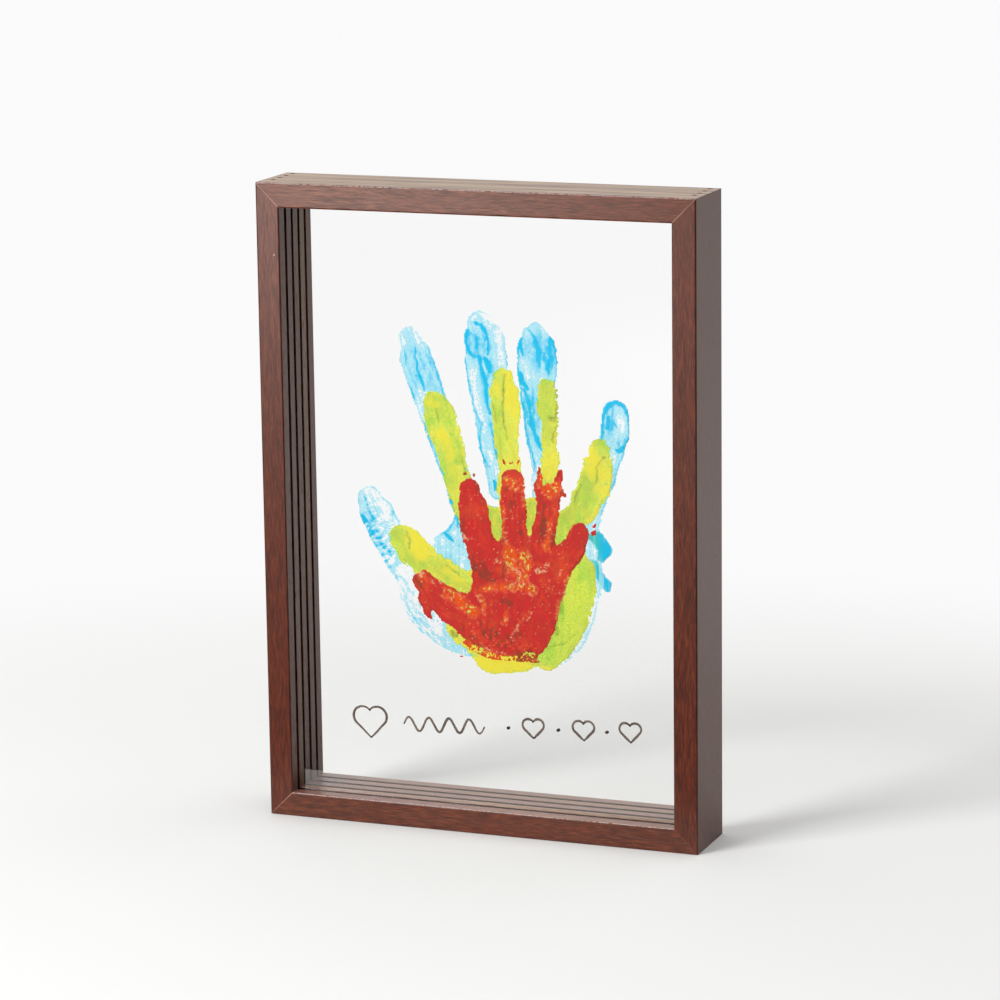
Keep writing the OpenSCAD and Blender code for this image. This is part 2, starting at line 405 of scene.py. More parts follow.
# Pale chips along the upper edges, partly real chips and partly painted glints: only edges that face upwards
# get them, and more of them low down, along the ledge.
off_upper_edge = maths("MINIMUM", maths("ABSOLUTE", height - up), maths("ABSOLUTE", face_width - up))
off_arris = maths("MAXIMUM", off_upper_edge, from_face) + ragged * (0.5 * MM)
chip_and_glint_noise = cloud(stretched(place, (600.0, 900.0, 900.0)), 1.0, 3.0, 0.6)
often = ease(up, 100 * MM, 200 * MM, 0.36, 0.42)
wire(result["ChipsAndGlints"], fade(off_arris, 0.15 * MM, 0.55 * MM) * ease(chip_and_glint_noise - often, 0.0, 0.08))
# A dark line of painted shade along the front and back edges, where the rounded edge turns away from the
# light.
off_edge = maths("ABSOLUTE", maths("MINIMUM", outwards, face_width - outwards))
wire(result["EdgeShade"], fade(maths("MAXIMUM", off_edge, from_face), 0.3 * MM, 0.65 * MM))

milled = ease(outwards, face_width - 0.3 * MM, face_width - 0.1 * MM)
groove_depth = 6.3 * MM
deep_down = ease(outwards, face_width - groove_depth - 0.3 * MM, face_width - groove_depth) * (1.0 - milled)
wire(result["Milled"], milled)
# The bottoms of the grooves get painted shade, near black.
wire(result["GrooveShade"], deep_down * ease(from_face, 3 * MM, 3.5 * MM) * (1.0 - sawn))
wire(result["Top"], ease(up, height - 0.05 * MM, height - 0.02 * MM))
wire(result["Side"], fade(from_side, 0.02 * MM, 0.05 * MM))
print("node group", cuts_wear_and_painted_light.name, "of", len(cuts_wear_and_painted_light.nodes), "nodes")


# %% The film's material
groove_shade_colour = rgb(26, 17, 14)
side_colour = rgb(79, 46, 34)
nick_place = (-half_width + 9.1 * MM, -half_depth, height - 34.8 * MM)
nick_colour = rgb(196, 166, 152)


def film(name, along, woods, milled, milled_share, edge_chips_and_painted_light, edge_chips_and_painted_light_colour):
    """The film's material. Along is a rotation that turns the member's length on to X; woods are the
    deep, middle and warm colours of its print; milled are the colours inside the opening, where the
    grooves are cut; the last two give the mark on the edges and its colour: pale chips mixed with
    painted glints on the rails, a dark line of painted shade on the stiles."""
    made, place, shader, _ = material(name)
    grain = place_group(film_grain, {"Place": stretched(place, (1, 1, 1), turned=along),
                                     "Deep": woods[0], "Middle": woods[1], "Warm": woods[2]})
    marks = place_group(cuts_wear_and_painted_light, {"Place": place})
    rib = cloud(stretched(place, (2.0, 120.0, 2.0), moved=(0.0, 0.35, 0.0)), 1.0, 1.0)
    colour = tint(marks["Milled"] * milled_share, grain["Colour"], tint(ease(rib, 0.42, 0.62), *milled))
    # Painted shade in the bottoms of the grooves.
    colour = tint(marks["GrooveShade"] * 0.92, colour, groove_shade_colour)
    colour = tint(marks["Side"] * 0.84, colour, side_colour)
    # The top faces get a paler, lighter colour with streaks.
    top_streaks = cloud(stretched(place, (16.0, 400.0, 400.0)), 1.0, 4.0, 0.62)
    top_colour = tint(ease(top_streaks, 0.30, 0.70), rgb(98, 68, 50), rgb(184, 156, 122))
    colour = tint(marks["Top"] * 0.85, colour, top_colour)
    core_colour = tint(cloud(place, 1300.0, 3.0), rgb(186, 132, 112), rgb(216, 168, 146))
    colour = tint(marks["Core"], colour, core_colour)
    # The edge mark: pale chips with painted glints on the rails, a dark line of painted shade on the stiles.
    colour = tint(marks[edge_chips_and_painted_light] * 0.75, colour, edge_chips_and_painted_light_colour)
    nick = ease(distance(place, nick_place), 0.15 * MM, 0.60 * MM, 0.75, 0.0)
    colour = tint(nick, colour, nick_colour)
    bare = maths("MAXIMUM", marks["Core"], marks["Top"] * 0.5)
    wire_all(shader.inputs, {
        "Base Color": colour, "Roughness": maths("MAXIMUM", grain["Roughness"], bare * 0.7),
        "Normal": bump(grain["Height"], 0.02, 0.3), "IOR": 1.42, "Specular Tint": (1.0, 0.93, 0.86, 1.0)})
    return made


# %% The film on the stiles and on the rails
# Stiles: the edge mark is a dark line of painted shade.
upright_film = film(
    "walnut_film_upright", (0, math.pi / 2, 0), (rgb(71, 30, 19), rgb(111, 46, 27), rgb(133, 64, 39)),
    (rgb(83, 53, 44), rgb(98, 72, 53)), 0.9, "EdgeShade", rgb(36, 14, 10))
# Rails: the edge mark is pale chips mixed with painted glints.
level_film = film(
    "walnut_film_level", (0, 0, 0), (rgb(78, 39, 28), rgb(120, 57, 37), rgb(144, 78, 50)),
    (rgb(123, 80, 67), rgb(134, 93, 57)), 0.85, "ChipsAndGlints", rgb(206, 194, 198))
print("films:", upright_film.name, "and", level_film.name)


# %% Dress the members, and let the sheen card light only them
def dress(names, made):
    """Gives CAD nodes their material, in every slot that their objects have."""
    for name in names:
        for material_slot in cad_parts[name].material_slots:
            material_slot.material = made
        print(name, "wears", made.name)


dress(("left_stile", "right_stile"), upright_film)
dress(("bottom_rail", "top_rail"), level_film)

lacquered = bpy.data.collections.new("lacquered_members")
for name in ("left_stile", "right_stile", "bottom_rail", "top_rail"):
    lacquered.objects.link(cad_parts[name])
sheen_card.light_linking.receiver_collection = lacquered
sheen_card.visible_diffuse = False

# %% [markdown]
# ## Pins and brads
#
# Small steel pins hold the mitres. Their heads are sunk below the surface, where they have darkened.

# %% Darkened steel
steel, place, shader, _ = material("darkened_steel")
stain = cloud(place, 1400.0, 3.0)
wire_all(shader.inputs, {
    "Base Color": tint(stain, rgb(84, 74, 62), rgb(140, 130, 116)), "Metallic": 0.9,
    "Roughness": ease(stain, 0.2, 0.8, 0.6, 0.35), "Normal": bump(stain, 0.02)})
dress(("left_top_pins", "right_top_pins", "left_bottom_brads", "right_bottom_brads"), steel)

# %% [markdown]
# ## The clear sheets
#
# Each sheet is 2 mm of clear acrylic with polished faces and softly broken edges. Glass that bends
# light would need many samples to be clean through four sheets, and at this thickness nobody sees
# the bend. So the faces let light straight through and mirror a little of the room, more at a flat
# angle, as the Fresnel node works out. The cut edges gather light and look pale.

# %% A sheet with eased corners and edges
def ring(low_x, high_x, low_z, high_z, radius, steps):
    """Points round a rectangle whose corners are quarter circles, anticlockwise seen from the front."""
    angle = np.linspace(0, np.pi / 2, steps)
    turns = np.arange(4)[:, None] * np.pi / 2 + angle[None, :]
    middle_x = np.array([high_x, low_x, low_x, high_x]) + radius * np.array([-1, 1, 1, -1])
    middle_z = np.array([high_z, high_z, low_z, low_z]) + radius * np.array([-1, -1, 1, 1])
    return ((middle_x[:, None] + radius * np.cos(turns)).ravel(),
            (middle_z[:, None] + radius * np.sin(turns)).ravel())


def polished_slab(name, low, high, ease_by, radius, steps):
    """A flat slab whose outline is carried through its depth: at each face the outline is drawn in by
    a share of the easing that follows a quarter circle, so that the edges are rounded over."""
    around = np.linspace(0, np.pi / 2, 5)
    inset = np.concatenate([ease_by * (1 - np.sin(around)), ease_by * (1 - np.cos(around))])
    depth = np.concatenate([low.y + ease_by * (1 - np.cos(around)), high.y - ease_by * (1 - np.sin(around))])
    rings = []
    for step, y in zip(inset, depth):
        x, z = ring(low.x + step, high.x - step, low.z + step, high.z - step, radius - step, steps)
        rings.append(np.column_stack([x, np.full(x.size, y), z]))
    count = rings[0].shape[0]
    here = np.arange(count)
    there = (here + 1) % count
    faces = [face for k in range(len(rings) - 1)
             for face in np.column_stack([k * count + there, k * count + here, (k + 1) * count + here,
                                          (k + 1) * count + there]).tolist()]
    faces.append(here.tolist())
    faces.append((here[::-1] + (len(rings) - 1) * count).tolist())
    return new_piece(name, np.concatenate(rings), faces)


# %% Clear acrylic
acrylic, place, shader, surface = material("clear_acrylic")
tree = place.tree
across, away, up = split(place)
smudge = cloud(place, 35.0, 4.0, 0.6)
smeared = ease(smudge, 0.4, 0.8, 0.02, 0.08)
gloss = node(tree, "BsdfGlossy", {"Color": (1, 0.97, 0.93, 1), "Roughness": smeared})
entering = 1.0 - node(tree, "NewGeometry", output="Backfacing")
# Painted reflection: in a low rectangle of the front sheet the mirror share is raised, so the lit table in
# front shows there as a bright haze.
reflecting_patch = fade(up, 22.2 * MM, 22.7 * MM) * ease(across, -half_width + 15.8 * MM, -half_width + 16.2 * MM)
reflecting_patch = reflecting_patch * fade(away, -half_depth + 7 * MM, -half_depth + 8 * MM)
mirror = (reflecting_patch * 0.13 + node(tree, "Fresnel", {"IOR": 1.2})) * entering
pane = blend(mirror, seen_through(tree), gloss)
facing = maths("ABSOLUTE", split(node(tree, "TexCoord", output="Normal"))[1])
saw_lines = cloud(stretched(place, (900.0, 200.0, 900.0)), 1.0)
wire_all(shader.inputs, {"Base Color": tint(saw_lines, (0.55, 0.66, 0.66, 1), (0.82, 0.9, 0.9, 1)),
                         "Roughness": ease(saw_lines, 0.2, 0.8, 0.15, 0.4)})
wire(surface, blend(ease(facing, 0.6, 0.95, 0.75, 0.0), pane, Wire(shader.outputs[0])))

for name in ("front_sheet", "second_sheet", "third_sheet", "rear_sheet"):
    low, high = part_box(name)
    pane_piece = polished_slab(name + "_polished", low, high, 0.25 * MM, 1.0 * MM, 6)
    pane_piece.data.materials.append(acrylic)
    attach(pane_piece, name)
    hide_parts(name)
    print(pane_piece.name, len(pane_piece.data.vertices), "points")

# %% [markdown]
# ## Painted hands
#
# A handprint is made by pressing a painted hand on the sheet: the paint is squeezed out towards the
# edges, where it stands thicker, and lies in streaks along the fingers. Each print is a thin relief
# mesh. Its outline comes from a signed distance, a number that is negative inside the shape: one for
# each finger, as a row of tapering capsules, and one for the palm, as a smoothed polygon. Noise
# bends the outline, and a second set of noise values says how thick the paint lies.

# %% Seeded noise on a plane
noise_size = 256
noise_table = np.random.default_rng(20).random((noise_size, noise_size))
print("noise table", noise_table.shape, "with a mean of", round(float(noise_table.mean()), 3))


def plane_noise(across, along, seed=0, layers=3):
    """Random values on a square lattice with cells of 1 by 1, blended by smooth steps; each further
    layer has cells half as wide, is half as strong and is turned a little."""
    total, weight = 0.0, 0.0
    for layer in range(layers):
        turned = 0.6 * layer
        u = (across * math.cos(turned) - along * math.sin(turned)) * 2**layer + 17.3 * seed
        v = (across * math.sin(turned) + along * math.cos(turned)) * 2**layer + 9.1 * seed
        i, j = np.floor(u).astype(int), np.floor(v).astype(int)
        s, t = u - i, v - j
        s, t = s * s * (3 - 2 * s), t * t * (3 - 2 * t)
        i, j, next_i, next_j = (index % noise_size for index in (i, j, i + 1, j + 1))
        low_side = noise_table[i, j] * (1 - s) + noise_table[next_i, j] * s
        high_side = noise_table[i, next_j] * (1 - s) + noise_table[next_i, next_j] * s
        total = total + (low_side * (1 - t) + high_side * t) * 0.5**layer
        weight += 0.5**layer
    return total / weight


def soft_step(value, start, end):
    """0 below the start, 1 above the end, and a smooth step between them."""
    share = np.clip((value - start) / (end - start), 0, 1)
    return share * share * (3 - 2 * share)


def spots(across, along, seed, start, end, layers=3):
    """Spots of 1 on a ground of 0: noise that is pushed to its ends by a smooth step."""
    return soft_step(plane_noise(across, along, seed, layers), start, end)


def bent(x, z, sway, cell, shivers, fine_cell, seed, layers=2):
    """The places moved by two noises: a slow sway, and a fine shiver that has its own size along X
    and along Z."""
    moved = []
    for place, shiver, own_seed in ((x, shivers[0], seed), (z, shivers[1], seed + 2)):
        slow = plane_noise(x / cell, z / cell, own_seed) - 0.5
        fine = plane_noise(x / fine_cell, z / fine_cell, own_seed + 1, layers) - 0.5
        moved.append(place + sway * slow + shiver * fine)
    return moved


# %% Signed distances of the strokes and of the palm
def share_along(ax, az, bx, bz, x, z):
    """The nearest point of a line from a to b, as a share of its length, and the distance to it."""
    share = np.clip(((x - ax) * (bx - ax) + (z - az) * (bz - az)) / ((bx - ax)**2 + (bz - az)**2), 0, 1)
    return share, np.hypot(x - ax - share * (bx - ax), z - az - share * (bz - az))


def stroke_gap(points, x, z):
    """Distance to a row of tapering capsules: the distance to the nearest point of the row less the
    radius there. Also returns the length along the row and the offset to its side."""
    gap = np.full(x.shape, np.inf)
    along, aside = np.zeros(x.shape), np.zeros(x.shape)
    start = 0.0
    for (ax, az, ar), (bx, bz, br) in zip(points[:-1], points[1:]):
        run = math.hypot(bx - ax, bz - az)
        share, off = share_along(ax, az, bx, bz, x, z)
        off = off - ar - share * (br - ar)
        nearer = off < gap
        gap = np.where(nearer, off, gap)
        along = np.where(nearer, start + share * run, along)
        aside = np.where(nearer, ((x - ax) * (bz - az) - (z - az) * (bx - ax)) / run, aside)
        start += run
    return gap, along, aside


def palm_gap(corners, x, z):
    """Distance to a polygon whose corners are cut three times, which makes its outline smooth. The
    sign comes from the number of sides that a line to the right crosses."""
    outline = np.array(corners, float)
    for _ in range(3):
        after = np.roll(outline, -1, axis=0)
        outline = np.stack([0.75 * outline + 0.25 * after, 0.25 * outline + 0.75 * after], 1).reshape(-1, 2)
    gap = np.full(x.shape, np.inf)
    inside = np.zeros(x.shape, bool)
    for (ax, az), (bx, bz) in zip(outline, np.roll(outline, -1, axis=0)):
        gap = np.minimum(gap, share_along(ax, az, bx, bz, x, z)[1])
        if az != bz:
            inside ^= ((az > z) != (bz > z)) & (x < ax + (z - az) / (bz - az) * (bx - ax))
    return np.where(inside, -gap, gap)


# %% Shapes that melt together, and the cover of strokes
def melt(first, second, width):
    """The smaller of two distances, with the crease between the shapes filled over a width."""
    share = np.clip(0.5 + 0.5 * (second - first) / width, 0, 1)
    return second * (1 - share) + first * share - width * share * (1 - share)


def melt_strokes(gap, rows, width, x, z):
    """A shape with strokes melted on to it."""
    for row in rows:
        gap = melt(gap, stroke_gap(row, x, z)[0], width)
    return gap


def on_stroke(row, start, end, x, z):
    """0 outside a stroke and 1 inside it, with a smooth step between two depths inside its outline."""
    return soft_step(-stroke_gap(row, x, z)[0], start, end)


def smears(rows, soft, x, z):
    """How strongly listed smears of paint cover each place: 1 on a smear, 0 beyond its soft edge."""
    return np.maximum.reduce([on_stroke(row, -soft, soft, x, z) for row in rows])


# %% [markdown]
# ## A relief mesh of paint
#
# Paint on a sheet is a thin body with a flat back and an uneven front. It could be a flat picture
# with a mask, but a real mesh has walls that catch the light, and can be exported like any other
# piece. A grid of places is laid over the drawing, the cells outside the outline are left out, and
# the front, the back and the walls are joined to one closed mesh.

# %% The relief mesh of a print
# The paint's back lies this far in front of its solid's back, in mm, so that it clears the sheet.
film_gap = 0.01


def relief(name, real_places, reach, thickness, values):
    """Builds closed paint from a grid of places. Reach is how far inside the outline a place lies.
    Cells with a corner inside are kept, and their outer corners are drawn back on to the outline
    along the slope of reach. The front stands out from the sheet by the thickness, the back is flat,
    and walls join the two round the outline."""
    x, z, back_y = real_places
    back_y = back_y - film_gap
    inside = reach > 0
    kept = inside[:-1, :-1] | inside[1:, :-1] | inside[:-1, 1:] | inside[1:, 1:]
    for _ in range(6):
        rising = kept[:-1, :-1] & kept[1:, 1:] & ~kept[1:, :-1] & ~kept[:-1, 1:]
        kept[1:, :-1] |= rising
        falling = ~kept[:-1, :-1] & ~kept[1:, 1:] & kept[1:, :-1] & kept[:-1, 1:]
        kept[:-1, :-1] |= falling
    step = x[1, 0] - x[0, 0]
    slope_x, slope_z = np.gradient(reach, step)
    steep = np.maximum(slope_x**2 + slope_z**2, 0.25)
    back_in = np.where(inside, 0.0, np.clip(-reach, 0, 0.45 * step))
    x = x + back_in * slope_x / np.sqrt(steep)
    z = z + back_in * slope_z / np.sqrt(steep)
    number = np.arange(x.size).reshape(x.shape)
    ci, cj = np.nonzero(kept)
    front = np.column_stack([number[ci, cj], number[ci + 1, cj], number[ci + 1, cj + 1], number[ci, cj + 1]])
    padded = np.pad(kept, 1)
    walls = []
    for shift, first, second in (((0, -1), 0, 1), ((1, 0), 1, 2), ((0, 1), 2, 3), ((-1, 0), 3, 0)):
        open_side = ~padded[ci + 1 + shift[0], cj + 1 + shift[1]]
        walls.append(np.column_stack([front[open_side, first], front[open_side, second]]))
    used, front_at = np.unique(front, return_inverse=True)
    front_at = front_at.reshape(front.shape)
    walls = np.searchsorted(used, np.concatenate(walls))
    count = used.size
    flat_x, flat_z = x.ravel()[used], z.ravel()[used]
    points = np.concatenate([np.column_stack([flat_x, back_y - thickness.ravel()[used], flat_z]),
                             np.column_stack([flat_x, np.full(count, back_y), flat_z])]) * MM
    faces = np.concatenate([front_at, front_at[:, ::-1] + count,
                            np.column_stack([walls[:, ::-1], walls + count])])
    made = new_piece(name, points, faces.tolist())
    made.data.polygons.foreach_set("use_smooth", np.ones(len(faces), bool))
    for label, field in values.items():
        layer = made.data.attributes.new(label, "FLOAT", "POINT")
        layer.data.foreach_set("value", np.tile(field.ravel()[used], 2).astype(np.float32))
    made.data.update()
    print(name, len(points), "points,", len(faces), "faces")
    return made


# %% [markdown]
# ## The shapes of the hands
#
# A hand could be one traced outline, but then nothing says which way a finger points. Here each
# finger is a row of circles from its tip to its root, so that streaks of paint can follow it, and the
# palm is a list of corners. Each drawing is stretched over the solid that it stands for.

# %% The boxes of the drawings, and the three hands
# Each box is (low x, low z, high x, high z) of a drawing, in mm.
drawn_boxes = {
    "large_print": (-75.16, 78.14, 67.59, 252.92), "middle_print": (-56.6, 74.95, 61.31, 226.24),
    "child_print": (-35.78, 87.99, 51.99, 179.42), "marker_ornament": (-68.77, 40.94, 81.10, 60.90)}
hand_margin = 4
# Each finger is a row of (x, z, radius) from its tip to its root, and each palm a list of corners.
hand_shapes = {
    "large_print": {
        "fingers": {
            "thumb": [(-67.5, 156, 6.1), (-63, 148, 8.9), (-57.5, 137, 8.6), (-50, 125, 8.6),
                      (-41, 114, 8.1)],
            "index": [(-45, 237, 5), (-41.5, 228, 8.6), (-36.7, 214, 8.4), (-32, 199, 7.8),
                      (-27, 185.5, 7.6), (-22, 172, 6.9), (-18, 160, 7)],
            "middle": [(-8, 245.5, 6.4), (-6, 237, 10.4), (-5, 226, 10.6), (-4.5, 213, 9.6), (-4, 200, 7.3),
                      (-4, 189, 6), (-2.4, 179, 4.7), (0, 165, 5)],
            "ring": [(20.4, 240, 6.8), (21, 233.5, 10), (21, 222, 10), (21, 209, 8.1), (21.3, 193, 6.4),
                      (22.8, 177, 5.1), (23, 160, 5)],
            "little": [(60.4, 205, 6.9), (60.2, 197, 7.2), (58.5, 188, 6.5), (56, 177, 5.2), (52, 166, 5.1),
                      (47, 155, 5)]},
        "palm": [(-53, 114), (-51, 102), (-40, 89), (-28, 83), (-19, 80.5), (4, 79), (26, 78.5), (36, 81.5),
                 (44, 91), (50, 105), (53, 117), (53, 132), (52, 147), (50, 160), (36, 158), (30, 153),
                 (14, 155), (8, 156), (-6, 156), (-12, 158), (-26, 165), (-22, 150), (-27, 142), (-37, 137),
                 (-46, 124)]},
    "middle_print": {
        "fingers": {
            "thumb": [(-47.5, 139.5, 6.7), (-43, 135, 8.5), (-36, 129, 8), (-26, 123, 8), (-16, 116, 9)],
            "index": [(-28.6, 206.5, 6.2), (-26.5, 200, 8.4), (-23, 190, 7.9), (-20, 180, 7.2),
                      (-17, 168, 6.7), (-13, 155, 7)],
            "middle": [(6.5, 220.5, 5.3), (7, 213, 7.8), (7.5, 202, 7), (8, 190, 6.1), (9, 179, 5.6),
                      (9, 165, 6)],
            "ring": [(28.5, 218.5, 3.9), (29, 211, 5), (30, 201, 4.6), (30, 190, 3.4), (30.4, 182, 4.9),
                      (29.4, 176, 4.2), (28, 164, 5)],
            "little": [(55.2, 189, 5), (54.6, 181, 7.5), (52, 171, 8.4), (47, 161, 7.2), (41, 154, 6.6),
                      (35, 147, 6.8)]},
        "palm": [(-25.5, 99), (-24, 91), (-16, 86.5), (-12, 83), (-8, 77), (0, 74.5), (16, 77), (22, 80),
                 (29, 78.5), (38, 84.5), (46, 97), (51, 110), (54, 122), (52, 132), (47, 138), (42, 148),
                 (33, 158), (27, 163), (14, 163), (6, 158), (-4, 158), (-13, 160), (-11, 146), (-10, 131),
                 (-15, 117), (-24, 110)]},
    "child_print": {
        "fingers": {
            "thumb": [(-33, 120, 5.5), (-27, 114, 7.4), (-18, 108.5, 8.8), (-7, 104, 10.9)],
            "index": [(-8.5, 167.5, 5.1), (-7, 159, 7.3), (-6, 149.5, 7.9), (-3, 139, 7.3), (2, 130, 7.9)],
            "middle": [(13.6, 173, 5.7), (14, 162, 6.6), (14.3, 148, 6.3), (15, 137, 6.5)],
            "ring": [(31.8, 167, 6), (31.6, 163, 6), (30.3, 153, 5.8), (28, 141, 6.3), (25, 132, 6.5)],
            "little": [(47.6, 150.5, 4.5), (45, 143, 5.8), (39, 135, 6.2), (32, 126, 7.2)]},
        "palm": [(-9, 139), (-7, 124), (-9, 108), (-16, 97), (-7, 92), (1, 87.5), (10, 86.5), (19, 89.5),
                 (27, 87.5), (31, 93), (34.5, 101), (36.5, 111), (41, 124), (40, 136), (32, 142), (20, 144),
                 (4, 142)]}}
print("hands:", {name: len(shapes["fingers"]) for name, shapes in hand_shapes.items()}, "fingers")


# %% A drawing's grid, and the distances to a hand
def drawing_grid(name, step, margin):
    """A grid of places over a drawing and round it, in the drawing's own mm, and where the places and
    the sheet's face lie on the CAD solid of that name."""
    low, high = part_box(name)
    low_x, low_z, high_x, high_z = drawn_boxes[name]
    x, z = np.meshgrid(np.arange(low_x - margin, high_x + margin, step),
                       np.arange(low_z - margin, high_z + margin, step), indexing="ij")
    real_x = low.x / MM + (x - low_x) * ((high.x - low.x) / MM / (high_x - low_x))
    real_z = low.z / MM + (z - low_z) * ((high.z - low.z) / MM / (high_z - low_z))
    return x, z, (real_x, real_z, high.y / MM)


def hand_gaps(name, x, z):
    """Distances to the hand and to its palm, and each finger's distance and own coordinates."""
    shapes = hand_shapes[name]
    fingers = {label: stroke_gap(row, x, z) for label, row in shapes["fingers"].items()}
    palm = palm_gap(shapes["palm"], x, z)
    return melt_strokes(palm, shapes["fingers"].values(), 4.0, x, z), palm, fingers


# %% The paint's streaks, rim and thickness
def grain_of(fingers, palm, x, z, wide, long, seed, layers=3):
    """Streak noise that follows each finger, and runs upright on the palm."""
    streaks = plane_noise(x / wide, z / long, seed, layers)
    nearest = palm
    for number, (gap, along, aside) in enumerate(fingers.values()):
        own = plane_noise(aside / wide, along / long, seed + 5 + number, layers)
        share = soft_step(nearest - gap, -3, 3)
        streaks = streaks * (1 - share) + own * share
        nearest = np.minimum(nearest, gap)
    return streaks


def rim_of(edge, middle, width):
    """A ridge of paint that runs round the print, at a depth inside its outline."""
    return np.exp(-((edge - middle) / width)**2)


def rise_of(amount, edge, most, full_at=0.7):
    """The paint's thickness in mm: thin at the outline, and most where there is much paint."""
    return 0.05 + most * amount * soft_step(edge, -0.3, full_at)


# %% [markdown]
# ## The large hand
#
# The blue paint was thin and wet. Pressed flat it left a pale film with fine streaks, dark lines
# where it was squeezed out, and bare places where the skin didn't touch. Noise alone puts such marks
# anywhere, so the strongest ones are listed strokes, and noise breaks them up.

# %% Strokes of the large hand
# Strokes are rows of (x, z, radius) in mm: dark squeezed lines, wider washes, bare places and drops.
blue_lines = [
    [(-47.3, 230.6, 0.5), (-47, 227.4, 0.9), (-46.7, 223.4, 0.5)],
    [(-41.6, 232.3, 0.4), (-41.3, 222.9, 0.7), (-38.4, 215.6, 0.8), (-37.3, 211.9, 0.5)],
    [(-34.2, 228, 0.3), (-31.3, 225.3, 0.4), (-28.4, 218.9, 0.5), (-25.6, 209.9, 0.4)],
    [(-49.9, 230, 0.4), (-49.5, 224.4, 0.5), (-46.9, 216.1, 0.5), (-43.1, 207.3, 0.4)],
    [(-12, 251.3, 0.9), (-14.2, 247.6, 1.1), (-13.9, 242.5, 0.8), (-16.2, 236.4, 1.2),
     (-14.1, 231.8, 0.8), (-10.2, 228.7, 0.6)],
    [(-12.1, 246.4, 0.5), (-7.7, 245.2, 0.9), (-5.1, 242, 1.1), (-3.9, 237, 0.7), (-3.6, 230.9, 0.6)],
    [(-8.6, 229.1, 1.2), (-8, 223.3, 1), (-5.8, 219.2, 0.9), (-5.2, 209.8, 0.9), (-3.7, 201.5, 0.6)],
    [(-5.6, 228.4, 1.5), (-3.6, 225.6, 1.8), (-3, 222.4, 1)],
    [(-1.2, 251.8, 0.3), (3.6, 245.7, 0.4), (5.3, 238.4, 0.6), (5.9, 225.8, 0.7)],
    [(-15.9, 227.5, 0.7), (-15.2, 221.5, 0.5), (-13.4, 213.1, 0.35), (-11.8, 203.9, 0.35), (-8.9, 197, 0.4)],
    [(-7.7, 197.3, 0.35), (-9, 189, 0.4), (-7.2, 179.7, 0.35), (-4.2, 175.9, 0.35)],
    [(-3, 196.8, 0.5), (-1.3, 188.5, 0.7), (0, 180.1, 0.5)],
    [(16.3, 244.5, 0.5), (20, 240, 0.8), (22.3, 232.7, 1), (22.6, 225.8, 0.6)],
    [(11.6, 241.3, 0.7), (12.5, 235, 0.9), (14, 230.9, 0.5)], [(10.1, 230, 0.8), (10.2, 224.5, 0.7)],
    [(12.4, 221.8, 1.5), (13.2, 218.6, 1.4), (16, 215, 1.1)],
    [(29.2, 242.8, 0.4), (30.9, 236.8, 0.6), (31.2, 226.7, 0.4)], [(26.7, 229.2, 0.8), (26.8, 222.7, 0.6)],
    [(13.8, 214.6, 0.5), (16.4, 211, 0.9), (17, 203.6, 0.8), (18.7, 195.3, 1),
     (22.1, 188, 1.2), (22.7, 185.7, 0.6)], [(16.7, 189.5, 0.3), (18.5, 181.2, 0.4), (19.8, 173.3, 0.3)],
    [(14.2, 210.9, 0.3), (14.7, 202.5, 0.4), (15.2, 194.1, 0.4)],
    [(60.7, 211.7, 1), (56.8, 208.9, 1.2), (54, 203.8, 1.2), (53.3, 198.2, 1), (53.9, 192.4, 0.5)],
    [(60.7, 211.7, 1), (64.7, 209.2, 0.9), (67.1, 203.6, 0.5), (67.9, 197.1, 0.4)],
    [(66.8, 194.3, 0.6), (65.9, 190.4, 1), (62.6, 187.4, 1.1), (60.5, 187.9, 0.5)],
    [(59.8, 201.3, 0.4), (60.6, 198.6, 0.4)], [(56.7, 203.5, 0.8), (56.2, 198.3, 1)],
    [(-72.4, 161.2, 0.6), (-74.3, 157.4, 0.7), (-72.2, 149.4, 0.9), (-67.1, 141.1, 1), (-61, 133.2, 0.6)],
    [(-70, 156.7, 0.6), (-67.9, 150.6, 0.6), (-64, 145.4, 0.4)],
    [(-69.7, 162.5, 0.25), (-62.6, 160.1, 0.3), (-56.5, 153.8, 0.3), (-54.4, 148.6, 0.25)],
    [(-27.9, 141.3, 1), (-25.7, 139.4, 1.5), (-23.6, 137, 0.5)],
    [(-27.6, 162.1, 0.5), (-24.4, 158.7, 1.3), (-22.3, 155, 1.3), (-21.4, 149.4, 0.9), (-21.4, 144.6, 0.5)],
    [(-1.6, 168.6, 0.9), (-1.2, 166, 1.3), (-0.4, 164.2, 0.5)],
    [(-49, 105.3, 0.3), (-43.6, 95.6, 0.3), (-37.7, 90, 0.3), (-29.2, 83.2, 0.3)],
    [(-50.4, 112, 0.3), (-47.4, 102.5, 0.3)], [(-51.3, 117.7, 0.7), (-48.8, 115, 0.9)],
    [(-62.2, 134.2, 0.8), (-58.7, 131.6, 0.8), (-57, 128.8, 0.5)],
    [(51.2, 117.4, 0.25), (49.1, 104, 0.25), (43.6, 90.2, 0.25)]]
print("large hand:", len(blue_lines), "dark lines")

